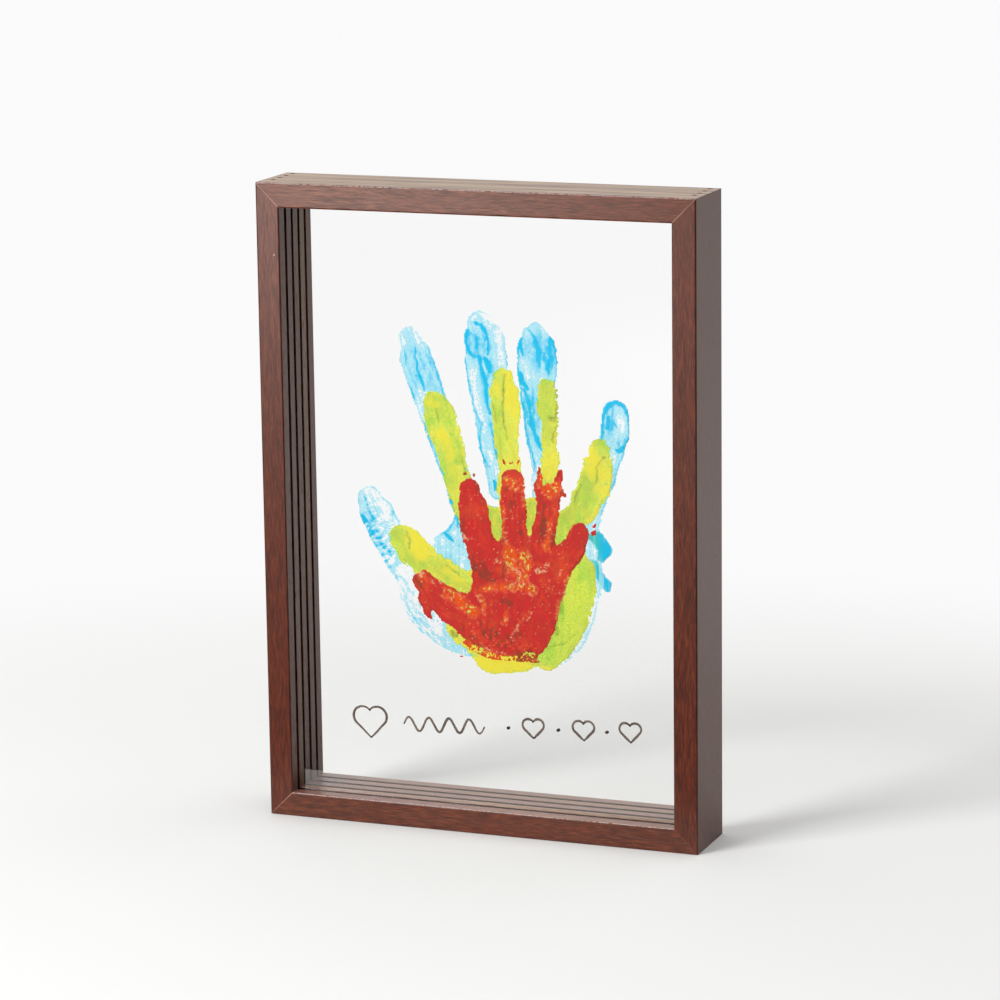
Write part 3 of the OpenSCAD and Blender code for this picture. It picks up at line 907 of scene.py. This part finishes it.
# %% Washes, bare places and drops of the large hand
blue_washes = [
    [(-46.7, 227.8, 3), (-44.8, 222.8, 2)], [(-38.3, 219.3, 4), (-34.4, 216.7, 4)],
    [(-9.3, 236.7, 6.5), (-9.3, 232.1, 5)], [(-5.5, 226.7, 3), (-4.6, 221.1, 3)],
    [(18.2, 236.2, 4), (19.1, 229.8, 3.5)], [(26.5, 240.3, 4), (25.4, 226.4, 4)],
    [(16.9, 207.3, 4), (17.7, 194.3, 4)], [(56.7, 204.9, 3.5), (56.7, 196.5, 3.5)],
    [(63.4, 191.3, 3), (63.7, 191.3, 3)], [(-35.5, 194, 2.2), (-32.5, 184, 2.4)],
    [(-47.5, 219, 2), (-42, 207, 2)], [(27.5, 217, 2.5), (26.5, 209, 2)],
    [(-35.5, 224, 1.6), (-31.5, 212, 1.8)], [(-2, 226, 2), (-0.5, 214, 2)],
    [(-12.5, 245, 1.6), (-10, 241, 2)], [(56.3, 206, 2.4), (60.5, 209.5, 2)]]
blue_bare = [
    [(-41, 207, 2), (-38.5, 198, 2.2)], [(-12, 222, 3), (-10.5, 210, 3), (-9, 200, 2.4)],
    [(1.5, 246, 3), (2.5, 236, 3.2), (2.5, 227, 2.6)], [(15, 228, 1.8), (15.5, 222, 1.6)],
    [(63.5, 203, 2.4), (63.5, 197, 2.4)], [(-37.5, 233, 1.6), (-40.5, 238, 1.4)],
    [(-3.5, 191, 1.6), (-3, 183, 1.6)], [(24.5, 246, 2), (27, 243, 1.4)], [(18.5, 182, 1.6), (20, 174, 1.6)]]
blue_drops = [
    [(46.5, 144.4, 1), (51.4, 143.8, 3.2), (55.4, 138.4, 3.6), (53.3, 134.3, 2.2)],
    [(49.3, 132.3, 1.2), (51.4, 126.4, 1.8), (55.3, 121.4, 2.6), (55.9, 119.4, 1.6)]]
print("large hand:", len(blue_washes + blue_bare + blue_drops), "wider strokes")

# %% The blue outline and its streaks
x, z, real_places = drawing_grid("large_print", step=0.55, margin=hand_margin)
bend = bent(x, z, sway=1.5, cell=5, shivers=(0.9, 0.9), fine_cell=1.6, seed=1)
gap, palm, fingers = hand_gaps("large_print", *bend)
drops = smears(blue_drops, 0.9, *bend)
edge = -melt_strokes(gap, blue_drops, 1.2, *bend)
lines = grain_of(fingers, palm, x, z, wide=1.3, long=24, seed=30)
blotches = grain_of(fingers, palm, x, z, wide=4.0, long=8, seed=50)
stipple = plane_noise(x / 1.3, z / 1.3, 8, 2)
amount = (0.07 + 0.22 * soft_step(lines, 0.46, 0.70) + 0.20 * soft_step(blotches, 0.46, 0.70)
          + 0.22 * (stipple - 0.5))
rim = rim_of(edge, middle=0.6, width=0.36) * spots(x / 9, z / 9, 7, 0.30, 0.50)
amount = np.maximum(amount, 0.80 * rim)
amount = amount + smears(blue_washes, 3.0, *bend) * (0.13 + 0.25 * spots(x / 1.5, z / 3.6, 9, 0.3, 0.7))
amount = amount * (1 - 0.8 * smears(blue_bare, 2.4, *bend))
shaded = smears(blue_lines, 2.2, bend[0] + 0.7, bend[1] - 0.4)
drawn = smears(blue_lines, 0.6, *bend) * (0.62 + 0.60 * plane_noise(x / 2.0, z / 3.4, 10))
amount = np.maximum(amount + 0.20 * shaded, drawn)
print("blue covers", round(float((edge > 0).mean()), 3), "of its grid")

# %% The blue thumb, palm and fingertips
# The thumb shows the lines of its skin, darkest on the side that was pressed hardest.
thumb_gap, thumb_along, thumb_aside = fingers["thumb"]
on_thumb = soft_step(palm - thumb_gap, -2, 4)
skin_lines = spots(thumb_aside / 3.2, thumb_along / 1.1, 12, 0.42, 0.62, 2)
amount = amount * (1 - 0.7 * on_thumb * (1 - skin_lines))
mid_thumb = soft_step(thumb_along, 3, 12) * soft_step(42 - thumb_along, 0, 12)
amount = amount + 0.34 * on_thumb * skin_lines * soft_step(thumb_aside, -2, 4) * mid_thumb

# The palm's lower left lifted off, and its right side is pale; the drops beside it are thick.
on_palm = soft_step(-palm, -4, -1)
low_left = soft_step(-x - z * 0.2, 0, 14) * on_palm
fringe = spots((x + z) / 1.2, (x - z) / 4.5, 14, 0.47, 0.60, 2)
lifted = soft_step(z, 96, 104) * soft_step(126 - z, 0, 8)
amount = amount * (1 - low_left * np.maximum(0.88 - 0.75 * fringe, 0.72 * lifted))
amount = amount * (1 - on_palm * soft_step(x, 20, 40) * (0.5 + 0.28 * soft_step(124 - z, -6, 8)))
amount = np.maximum(amount, drops * (0.42 + 0.45 * soft_step(lines, 0.4, 0.6)))

# The fingertips were drawn off the sheet, so their paint ends in scratches.
fuzzy_tips = {"thumb": 0.6, "index": 0.5, "middle": 0.75, "ring": 0.45, "little": 0.0}
for label, (finger_gap, along, aside) in fingers.items():
    at_tip = soft_step(palm - finger_gap, -2, 2) * (1 - soft_step(along, -1, 6))
    scratches = plane_noise(aside / 0.8, along / 2.6, 15, 2)
    scratched = soft_step(3.2 - edge + 5 * (scratches - 0.5), -0.6, 1.4)
    amount = amount * (1 - at_tip * scratched * fuzzy_tips[label])
amount = np.clip(amount, 0, 1)
greenish = drops * soft_step(54 - x, -1, 5) * soft_step(z, 120, 134)
rise = rise_of(amount, edge, most=0.17, full_at=0.6)
large_hand = relief("large_print_paint", real_places, edge, rise,
                    {"amount": amount, "mixed": greenish, "flecked": np.zeros(x.shape)})

# %% [markdown]
# ## The middle hand
#
# The yellow paint was thick, so it stands in ridges and clots, smoother on the side of the palm that
# slid. Over the blue hand it looks green, and in thin strokes of its own it is lime.

# %% Strokes of the middle hand
# Strokes where the yellow lies thin over blue, thinner still, thick and bright, and mixed to olive.
yellow_lime = [
    [(-33, 206, 4), (-24.5, 206.4, 5), (-20.7, 201, 4)], [(-33.6, 200.3, 3), (-30.7, 196.7, 2)],
    [(-18.9, 188, 3), (-17, 180.6, 3)], [(-25, 178.2, 4), (-23.2, 167.9, 5)],
    [(4.1, 204.3, 3), (4.8, 183.7, 2)], [(54.1, 193.2, 3), (59.3, 189.8, 3)],
    [(45.7, 173.1, 4), (48.5, 169.6, 4)], [(-52.7, 144.1, 3.5), (-49.7, 140, 4)],
    [(-46.9, 131.2, 4), (-37.9, 127, 4)], [(-31.9, 128.4, 2.6), (-25.9, 125.9, 3), (-24, 119.4, 2)],
    [(-18, 118.9, 3), (-12.1, 116, 3)], [(0.4, 155.2, 3), (2.2, 144, 4)],
    [(18.7, 160.1, 3), (19.1, 149.8, 3)], [(-25, 186, 3), (-21, 173, 3)],
    [(48.6, 173.2, 5), (44.6, 159.9, 6), (37.7, 152, 6), (34.7, 144.3, 5)],
    [(42.3, 127.9, 3.5), (39.3, 117.3, 4), (37.2, 104.9, 6), (32.1, 90.2, 7)],
    [(50.1, 126.6, 5), (49, 113.3, 5), (43, 97.7, 6), (33.1, 84.6, 6)]]
yellow_deep_lime = [
    [(26.7, 221.3, 4), (28.6, 213, 5), (29, 205.6, 4)], [(27.5, 200.9, 3.5), (28.9, 194.5, 3)],
    [(49.5, 176.5, 2.2), (47.5, 171, 2)]]
yellow_bright = [
    [(10.2, 223.2, 3), (11.5, 212.1, 4), (10.9, 204.6, 3)], [(-31.5, 207, 2.2), (-28.5, 205.3, 1.5)],
    [(-26, 192, 3), (-23.4, 186.2, 4), (-21.5, 182.5, 3)], [(30.2, 185.2, 3.4), (29.6, 175.9, 3.2)],
    [(49.7, 187.3, 3), (52.5, 182.9, 4), (50.5, 177.2, 3)],
    [(-42.6, 143.9, 3), (-36.7, 140.4, 4), (-36.8, 132.8, 3.4), (-41.8, 133.4, 2.6)],
    [(-23.9, 125.1, 1.6), (-19, 121.7, 2), (-14, 118.2, 1.6)],
    [(-23.4, 94.6, 2.4), (-16.5, 89.8, 3), (-11.5, 86.8, 2.4)], [(56.8, 169.1, 1.4), (58.3, 160.8, 1.4)],
    [(36.4, 121.8, 1.4), (35.3, 114.2, 1.4)]]
yellow_olive = [
    [(7.5, 223, 0.4), (6.4, 215.6, 0.5), (6.1, 207.2, 0.5), (7.1, 198.8, 0.4), (7.8, 191.4, 0.4)],
    [(1.2, 207.8, 0.3), (2.2, 198.6, 0.3)],
    [(33.3, 217, 0.8), (33.6, 208.7, 0.6), (34.3, 201.3, 0.6), (31.5, 191.7, 0.4)],
    [(31.2, 202.4, 1.4), (33.3, 202.5, 1.4)], [(57.4, 185.9, 0.35), (54.4, 180.2, 0.4), (53.4, 173.6, 0.3)],
    [(-28.5, 204.3, 0.4), (-26.7, 197.9, 0.3)], [(-15, 180.7, 0.4), (-13.2, 173.3, 0.4)],
    [(28.2, 89, 0.4), (37.1, 93.5, 0.5), (42, 97.6, 0.4)], [(34.4, 114.1, 1.3), (35.3, 108.5, 1.2)],
    [(31.3, 102.5, 1.4), (33.2, 97.9, 1)], [(-21.9, 93.2, 1.6), (-20.5, 91.9, 1.2)],
    [(45.6, 171.2, 0.4), (42.7, 163.5, 0.4)],
    [(-45.7, 142.7, 0.35), (-43.2, 139, 0.35), (-43.8, 134.2, 0.35)],
    [(-23.9, 127, 0.4), (-17.9, 123.2, 0.4)]]
print("middle hand:", len(yellow_lime + yellow_deep_lime + yellow_bright + yellow_olive), "strokes")

# %% The middle hand: thick yellow paint with ridges
x, z, real_places = drawing_grid("middle_print", step=0.5, margin=hand_margin)
ragged_side = soft_step(x, 12, 34) * soft_step(z, 170, 186)
bend = bent(x, z, sway=2.2, cell=4, shivers=(0.6 + 1.8 * ragged_side, 0.7), fine_cell=1.4, seed=21)
gap, palm, fingers = hand_gaps("middle_print", *bend)
edge = -gap
lines = grain_of(fingers, palm, x, z, wide=1.2, long=7, seed=60, layers=4)
patches = plane_noise(x / 6.5, z / 8.5, 27) - 0.5
clots = plane_noise(x / 2.4, z / 2.8, 32, 4) - 0.5
smooth_side = soft_step(-palm, -1, 5) * soft_step(x - 0.25 * (z - 100), 14, 30)
rough_side = 1 - smooth_side
brightened = smears(yellow_bright, 1.8, *bend)
amount = (0.50 + rough_side * (0.55 * (lines - 0.5) + 0.5 * patches + 0.5 * clots)
          + smooth_side * (0.25 * patches - 0.24) + 0.20 * brightened
          + 0.15 * rim_of(edge, middle=0.8, width=0.8))
dry_side = soft_step(1.8 - edge, 0, 1.6) * spots(x / 1.2, z / 2.4, 29, 0.48, 0.62, 2) * rough_side

# Paint ran together at the heel and at the thumb.
pool = on_stroke([(-6, 80, 4), (4, 79, 5), (16, 81, 4)], -1, 2, x, z)
thumb_pool = on_stroke([(-40, 139, 3), (-37, 133, 4)], -2, 2, x, z)
amount = np.clip(np.clip(amount - 0.7 * dry_side, 0, 1) + 0.4 * np.maximum(pool, 0.8 * thumb_pool), 0, 1)
green = (smears(yellow_lime, 2.4, *bend) * (0.10 + 0.95 * plane_noise(x / 2.6, z / 5, 31, 4))
         + 0.30 * soft_step(lines, 0.52, 0.70) + 0.55 * smears(yellow_deep_lime, 2.0, *bend))
green = green * (1 - np.maximum(pool, thumb_pool)) * (1 - 0.7 * brightened) * (1 - 0.45 * smooth_side)
olive = smears(yellow_olive, 0.5, *bend) * (0.35 + 0.8 * plane_noise(x / 1.2, z / 2.5, 33))
middle_hand = relief("middle_print_paint", real_places, edge, rise_of(amount, edge, most=0.19),
                     {"amount": amount, "mixed": np.clip(green, 0, 1), "flecked": np.clip(olive, 0, 1)})

# %% [markdown]
# ## The child's hand
#
# The red paint is opaque, and tore when the hand was lifted: it is brown in the creases, orange where
# it is thin, and flecked with cream where the sheet shows. Splashes hang on the fingertips, and the
# heel is spattered.

# %% Strokes of the child's hand
# Strokes of splashed paint, of brown, orange and cream places, and of the speckle under the heel.
red_splashes = [
    [(26.8, 170, 2.2), (27.2, 175, 1.4), (27.6, 179.4, 0.5)],
    [(35.5, 168, 3), (36.8, 174, 2), (38.6, 179.6, 0.7)], [(37.5, 171, 1.2), (40.2, 167.5, 0.9)],
    [(54.6, 153.2, 0.6), (57, 155.4, 0.5), (58.6, 156.6, 0.4)], [(54, 149.6, 0.8), (56.6, 150.6, 0.7)],
    [(-33, 112, 3), (-31.5, 106, 2.2), (-29.8, 102.8, 0.9)], [(-14.5, 83.6, 0.9), (-13.6, 84.6, 0.4)],
    [(9.2, 181.2, 0.5), (9.4, 182.6, 0.4)], [(12.6, 181.6, 0.4), (13.4, 181.9, 0.4)],
    [(16.4, 181.2, 0.4), (17, 183.6, 0.6), (18.2, 184.8, 0.4)], [(24.8, 90, 1.4), (25.2, 87.6, 0.7)],
    [(-11.2, 174.4, 0.5), (-10.2, 175, 0.4)], [(-6.4, 174.6, 0.5), (-5.8, 174, 0.4)],
    [(-36.6, 121, 1.6), (-38.4, 120.4, 0.5)]]
red_brown = [
    [(-4.5, 167.3, 0.8), (-2.7, 159.4, 1.1), (-1.4, 152.7, 0.9)],
    [(-6.8, 131.8, 3), (-2.9, 127.3, 3.4), (2, 124.8, 2.4)],
    [(-12.4, 153.1, 0.8), (-13.3, 148.3, 1.2), (-11.6, 144.7, 0.8)],
    [(-2.4, 99.9, 3), (3.5, 94.6, 3.4), (9.4, 93.2, 3), (15.4, 97.2, 2)], [(-11.3, 98, 2), (-7.4, 95.7, 2)],
    [(13.3, 162.3, 1.5), (16.2, 155.9, 2), (17.5, 149.5, 1.6), (16, 143.7, 1.4)],
    [(28.8, 164.2, 2), (31, 158.8, 1.8), (29, 151.1, 1.8), (26.8, 144.9, 1.6)],
    [(37.9, 164.3, 0.8), (39.1, 158.8, 0.9), (36.8, 154.3, 0.7)],
    [(51.8, 154.1, 0.7), (52.7, 148.1, 1), (52, 142.9, 0.8)], [(-11.1, 173.9, 1.6), (-7.2, 171.3, 1.4)],
    [(11.4, 167.8, 1.4), (13.8, 166.1, 1)], [(-37.4, 122.1, 1.2), (-34.9, 118.4, 1.2)],
    [(7.7, 113, 1.5), (12.6, 112.4, 1)], [(51.1, 143.3, 0.9), (48.3, 139.4, 0.8)],
    [(7, 134.6, 0.8), (8.9, 129.1, 0.9), (7.9, 125.3, 0.7)],
    [(23.2, 88.5, 2.4), (18.2, 86.7, 2.2), (14.3, 85.4, 1.6)], [(34.6, 149.7, 0.6), (33.1, 142.1, 0.6)]]
print("child's hand:", len(red_splashes + red_brown), "splashes and brown strokes")

# %% Orange, cream and speckled places of the child's hand
red_orange = [
    [(11.5, 137.8, 3.4), (13.4, 131.3, 4), (17.8, 127.4, 3.4)],
    [(28.6, 175.4, 2.5), (32.4, 169.1, 4), (36.8, 171.7, 2.5)],
    [(8.6, 159.2, 0.9), (8.8, 149.8, 1), (10.3, 140.5, 1.2)], [(32.7, 153.3, 1.2), (30.8, 141.9, 1.6)],
    [(-4.6, 118.2, 1.2), (2.9, 120, 1.6), (11.3, 120.6, 1.6), (18.2, 122.2, 3.2), (23.1, 120.5, 2.6)],
    [(-4.9, 116.8, 0.9), (-2.7, 111.2, 1.2), (-2.1, 107, 0.9)],
    [(41.4, 127.6, 1), (39.4, 119, 1.1), (36.4, 111.3, 1.2), (35.2, 107.4, 0.9)],
    [(9.8, 108.4, 0.9), (8.8, 103.1, 1.2)], [(21.5, 109.2, 0.9), (17, 103.2, 1.1), (14.7, 100, 0.9)],
    [(18.9, 137.3, 2.6), (21.2, 131.9, 2.6)], [(11.5, 172.5, 2.4), (15.4, 169.9, 2)],
    [(19.3, 173, 1.2), (20, 161.8, 1)], [(-21, 115.6, 3), (-15.1, 112.2, 3), (-7.2, 107.1, 3)],
    [(-12.1, 176.6, 0.9), (-9.6, 174.9, 0.8)]]
red_cream = [
    [(5.1, 133.7, 0.6), (7.2, 132.4, 0.5)], [(10.7, 131.3, 0.7), (12.9, 129.4, 0.9), (16.3, 127.7, 0.7)],
    [(12.9, 135.5, 0.5), (14.4, 133.7, 0.5)], [(26.4, 129.6, 1.4), (29.6, 131, 1.6), (31.3, 133.7, 0.9)],
    [(8.6, 120.8, 0.5), (10.8, 120.6, 0.5)], [(13.3, 121.9, 0.6), (16.7, 123.1, 0.8), (18.9, 122.3, 0.8)],
    [(21.6, 118.7, 0.6), (22.8, 117.6, 0.5)], [(-36, 126, 1.6), (-33.6, 123.5, 1.4)],
    [(-26.8, 124.7, 0.9), (-23.7, 120, 0.9)],
    [(-4, 92.1, 0.35), (-1.5, 89.5, 0.4), (3.4, 87.7, 0.4), (8.6, 87.2, 0.3)],
    [(-13.7, 146, 0.7), (-10.4, 143.1, 0.8)],
    [(16.3, 103.2, 0.3), (13, 98.2, 0.35), (12.4, 95.3, 0.35), (14.6, 93.1, 0.3)],
    [(-4.9, 114.9, 0.5), (-3.7, 111.2, 0.5), (-3, 107.4, 0.5)], [(37.3, 127.3, 0.4), (38.3, 131.2, 0.4)],
    [(21.9, 147.9, 0.3), (21.4, 143.1, 0.3)], [(-28.9, 121.2, 0.7), (-27.7, 119.9, 0.5)],
    [(-32.8, 127.6, 0.5), (-29.8, 127.2, 0.4)], [(40.2, 123.8, 0.4), (38.2, 115.2, 0.5), (36.4, 110.3, 0.4)],
    [(-8.3, 98, 0.35), (-7.4, 96.6, 0.35)], [(23.2, 109.2, 0.3), (20.9, 104.5, 0.3)]]
red_speckle = [
    [(-10.9, 91.1, 1.6), (-3.5, 87.9, 2.4), (3.4, 85.5, 2.6), (10.3, 85.1, 2)],
    [(10.3, 86.6, 2.2), (17.2, 85.7, 3), (23.1, 84.7, 2.6)]]
print("child's hand:", len(red_orange + red_cream + red_speckle), "lighter strokes")

# %% The red outline and how thick the paint lies
x, z, real_places = drawing_grid("child_print", step=0.4, margin=hand_margin)
bend = bent(x, z, sway=1.6, cell=4, shivers=(1.3, 1.3), fine_cell=1.3, seed=41, layers=3)
main_gap, palm, fingers = hand_gaps("child_print", *bend)
edge = -melt_strokes(main_gap, red_splashes + red_speckle, 0.8, *bend)
lines = grain_of(fingers, palm, x, z, wide=0.9, long=7, seed=80, layers=4)
patches = plane_noise(x / 9, z / 9, 46)
specks = plane_noise(x / 0.8, z / 0.8, 48, 2)
flecks = plane_noise(x / 0.95, z / 0.95, 49, 2)
mottles = plane_noise(x / 2.4, z / 2.0, 54, 4)
orange = smears(red_orange, 1.6, *bend)
palm_share = soft_step(-palm, -2, 6)
amount = (0.90 + (0.60 - 0.42 * palm_share) * (lines - 0.5) + 0.45 * palm_share * (mottles - 0.5)
          + 0.6 * (patches - 0.5) - 0.66 * orange * soft_step(lines, 0.28, 0.52))
print("red covers", round(float((edge > 0).mean()), 3), "of its grid")

# %% The red paint's torn places and its colours
# Paint tore off in flecks at the heel, the thumb's tip and a notch, and spattered below the heel.
heel = soft_step(97 - z, 0, 5) * soft_step(x, -16, -6)
thumb_tip = on_stroke([(-35, 121, 1.5), (-28, 123, 1), (-20, 121, 0.8)], -2.5, 1.5, x, z)
notch = on_stroke([(-14.5, 147, 0.6), (-11, 144, 0.9)], -1, 0.8, x, z)
bare = np.maximum.reduce([0.55 * orange, 0.4 * heel, 0.5 * thumb_tip, 0.9 * notch])
amount = amount - 1.1 * bare * soft_step(flecks, 0.63, 0.70) - 0.4 * soft_step(specks, 0.78, 0.88)
below_heel = soft_step(92 - z, 0, 2) * soft_step(24 + x, 0, 4)
spattered = np.maximum(
    soft_step(main_gap, -0.9, 0.5) * smears(red_speckle, 3.5, x, z - 0.6),
    soft_step(main_gap, 0.0, 0.6) * below_heel * soft_step(smears(red_speckle, 3.5, x, z), 0.0, 0.15))
amount = np.clip(amount * (1 - spattered * (1 - 0.8 * soft_step(specks, 0.50, 0.62))), 0, 1)

# The colours that are mixed in: brown in the creases and at the rim, cream where the paint tore.
browned = 0.22 + 0.85 * smears(red_brown, 1.3, *bend)
brown_rim = 0.75 * rim_of(edge, middle=0.5, width=0.45) * spots(x / 5, z / 5, 53, 0.50, 0.62)
brown = np.maximum(browned * spots(x / 1.6, z / 3.6, 51, 0.38, 0.62, 4), brown_rim)
brown = np.clip(brown + 0.6 * spattered * soft_step(x, 6, 12), 0, 1)
creamy = 0.8 * smears(red_cream, 0.6, *bend) * spots(x / 0.7, z / 0.7, 52, 0.46, 0.60, 2)
creamy = creamy + 0.6 * orange * soft_step(flecks, 0.62, 0.68) + 0.5 * soft_step(specks, 0.80, 0.88)
child_hand = relief("child_print_paint", real_places, edge, rise_of(amount, edge, most=0.19),
                    {"amount": amount, "mixed": brown, "flecked": np.clip(creamy, 0, 1)})

# %% [markdown]
# ## What the paint looks like
#
# Paint this thin does three things at once: it scatters its own colour back, it lets some of the
# white behind it through, and it tints what passes. So the material mixes a tinted clear shader with
# an opaque one, by the amount of paint, and leaves the sheet bare where the amount is almost none.
# The tint is why yellow looks lime green where it lies in front of the blue hand.

# %% The material of dried finger paint
def carried(tree, label):
    """A value that the mesh carries at each of its points."""
    return node(tree, "Attribute", output="Fac", attribute_name=label)


def finger_paint(name, colours, colour_range, tint_through, opacity, grain_scale, grain_depth):
    """Colours are the thin, the thick, the mixed-in and the flecks' colour; opacity goes from its least
    to its greatest with the amount of paint."""
    made, place, shader, surface = material(name)
    tree = place.tree
    grain = cloud(place, grain_scale, 4.0, 0.65) - 0.5
    fine = cloud(place, grain_scale * 3.1, 3.0, 0.6)
    body = carried(tree, "amount") + grain * grain_depth + (fine - 0.5) * (0.7 * grain_depth)
    colour = tint(ease(body, *colour_range), colours[0], colours[1])
    colour = tint(carried(tree, "mixed") * ease(fine, 0.2, 0.6, 0.35, 0.95), colour, colours[2])
    colour = tint(carried(tree, "flecked") * ease(fine, 0.3, 0.5, 0.6, 1.0), colour, colours[3])
    wire_all(shader.inputs, {"Base Color": colour, "Roughness": ease(body, 0.1, 1.0, 0.62, 0.40),
                             "IOR": 1.3, "Normal": bump(body, 0.12, 0.7)})
    paint = blend(ease(body, 0.05, 0.8, *opacity), seen_through(tree, tint_through), Wire(shader.outputs[0]))
    lit_through = maths("MAXIMUM", ray_is(tree, "Shadow") * 0.98, ray_is(tree, "Diffuse") * 0.9)
    cover = ease(body, 0.03, 0.11) * (1.0 - lit_through)
    wire(surface, blend(cover, seen_through(tree), paint))
    return made


# %% The three paints
blue_paint = finger_paint(
    "blue_finger_paint",
    ((0.44, 0.83, 0.95, 1), (0.005, 0.55, 0.88, 1), (0.07, 0.62, 0.52, 1), (0.9, 0.95, 1, 1)),
    (0.15, 0.80), (0.72, 0.93, 0.985, 1), (0.05, 0.97), 900.0, 0.30)
yellow_paint = finger_paint(
    "yellow_finger_paint",
    ((0.73, 0.80, 0.20, 1), (0.87, 0.77, 0.06, 1), (0.40, 0.62, 0.10, 1), (0.20, 0.28, 0.07, 1)),
    (0.1, 0.85), (0.88, 0.95, 0.27, 1), (0.20, 0.88), 900.0, 0.42)
red_paint = finger_paint(
    "red_finger_paint",
    ((0.88, 0.12, 0.02, 1), (0.60, 0.021, 0.022, 1), (0.25, 0.045, 0.025, 1), (0.84, 0.56, 0.32, 1)),
    (0.15, 1.10), (0.95, 0.35, 0.06, 1), (0.45, 0.97), 1000.0, 0.44)
print("paints:", blue_paint.name, yellow_paint.name, red_paint.name)

# %% Give each hand its paint, its sheet and the solid that it stands for
for made, made_of, solid, sheet, slot in (
        (large_hand, blue_paint, "large_print", "rear_sheet", "blue_paint"),
        (middle_hand, yellow_paint, "middle_print", "third_sheet", "yellow_paint"),
        (child_hand, red_paint, "child_print", "second_sheet", "red_paint")):
    made.data.materials.append(made_of)
    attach(made, sheet)
    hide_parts(solid)
    print(made.name, "rides", sheet, "in", made_of.name)

# %% [markdown]
# ## The marker line
#
# Below the hands runs a line of hearts, a wave and dots, drawn with a brown-black marker on the
# front sheet. The ink stands up a little, and it is darkest where the pen was set down and lifted.
# It is built like the paint: the pen's path is a row of capsules, and its relief is domed.

# %% The pen's path, and a heart
pen_radius = 0.55
dot_radius = 0.7
line_height = 52.02
line_lean = math.radians(2.5)


def pen_row(x, z):
    """A row of capsules along a path; the pen's radius swings a little, and thins at both ends."""
    share = np.linspace(0, 1, len(x))
    radius = pen_radius * (1 + 0.12 * np.sin(9 * share + x[0]))
    radius = radius * (0.55 + 0.45 * np.clip(np.minimum(share, 1 - share) * 8, 0, 1))
    turned_x = x * math.cos(line_lean) - z * math.sin(line_lean)
    turned_z = x * math.sin(line_lean) + z * math.cos(line_lean) + line_height
    return np.column_stack([turned_x, turned_z, radius]).tolist()


def heart_rows(middle, tall):
    """Two strokes of a heart, each from the notch round one lobe and straight down to the tip. The
    lobes stand on the upper sides of a square that stands on its corner."""
    lobe = tall / (1 + 3 * math.sin(math.pi / 4))
    side = 2 * lobe
    angle = np.linspace(math.pi / 2, -math.pi / 2, 22)
    u = np.concatenate([[side - 0.7], side + (lobe - pen_radius) * np.cos(angle),
                        np.linspace(side, pen_radius, 12)[1:]])
    v = np.concatenate([[side - 0.7], lobe + (lobe - pen_radius) * np.sin(angle), np.full(11, pen_radius)])
    upwards = (u + v) / math.sqrt(2) - tall / 2
    sideways = (u - v) / math.sqrt(2)
    return [pen_row(middle + sideways, upwards), pen_row(middle - sideways, upwards)]


# %% Draw the hearts, the wave and the dots
wave_share = np.linspace(0, 1, 97)
pen_rows = [pen_row(-41.58 + 42 * wave_share, 3.5 * np.sin(8 * math.pi * wave_share))]
for middle, tall in ((-59.4, 17), (25.74, 11), (51.48, 11), (75.24, 11)):
    pen_rows += heart_rows(middle, tall)
for middle in (12.87, 38.61, 63.36):
    dot = pen_row(middle + np.array([-0.25, 0.25]), np.array([-0.1, 0.15]))
    pen_rows.append([(dot_x, dot_z, dot_radius) for dot_x, dot_z, _ in dot])
print("the pen drew", len(pen_rows), "strokes")

# %% The marker line's relief
x, z, real_places = drawing_grid("marker_ornament", step=0.2, margin=1)
shake_x, shake_z = (place + 0.25 * (plane_noise(x / 2.5, z / 2.5, seed) - 0.5)
                    for place, seed in ((x, 61), (z, 62)))
gap = np.full(x.shape, np.inf)
set_down = np.zeros(x.shape)
for row in pen_rows:
    near = np.abs(x - np.mean([point[0] for point in row])) < 26
    own, along, _ = stroke_gap(row, shake_x[near], shake_z[near])
    at_end = 1 - soft_step(np.minimum(along, along.max() - along), 0.3, 2.2)
    set_down[near] = np.where(own < gap[near], at_end, set_down[near])
    gap[near] = np.minimum(gap[near], own)
dome = np.sqrt(np.clip(-gap / pen_radius, 0, 1))
ink = relief("marker_line", real_places, -gap, 0.02 + 0.12 * dome,
             {"amount": 0.22 + 0.3 * spots(x / 5, z / 5, 63, 0.4, 0.65) + 0.6 * set_down})

# %% Brown-black marker ink
ink_look, place, shader, surface = material("marker_ink")
flow = cloud(place, 900.0, 3.0, 0.6)
body = carried(place.tree, "amount") + (flow - 0.5) * 0.7
wire_all(shader.inputs, {"Base Color": tint(ease(body, 0.15, 1.0), rgb(126, 109, 98), rgb(52, 42, 37)),
                         "Roughness": ease(flow, 0.3, 0.7, 0.6, 0.4), "Normal": bump(flow, 0.04)})
through = seen_through(place.tree, (0.62, 0.56, 0.5, 1))
wire(surface, blend(ease(body, 0.0, 0.7, 0.45, 0.95), through, Wire(shader.outputs[0])))
ink.data.materials.append(ink_look)
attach(ink, "front_sheet")
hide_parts("marker_ornament")
print("the marker line wears", ink_look.name)
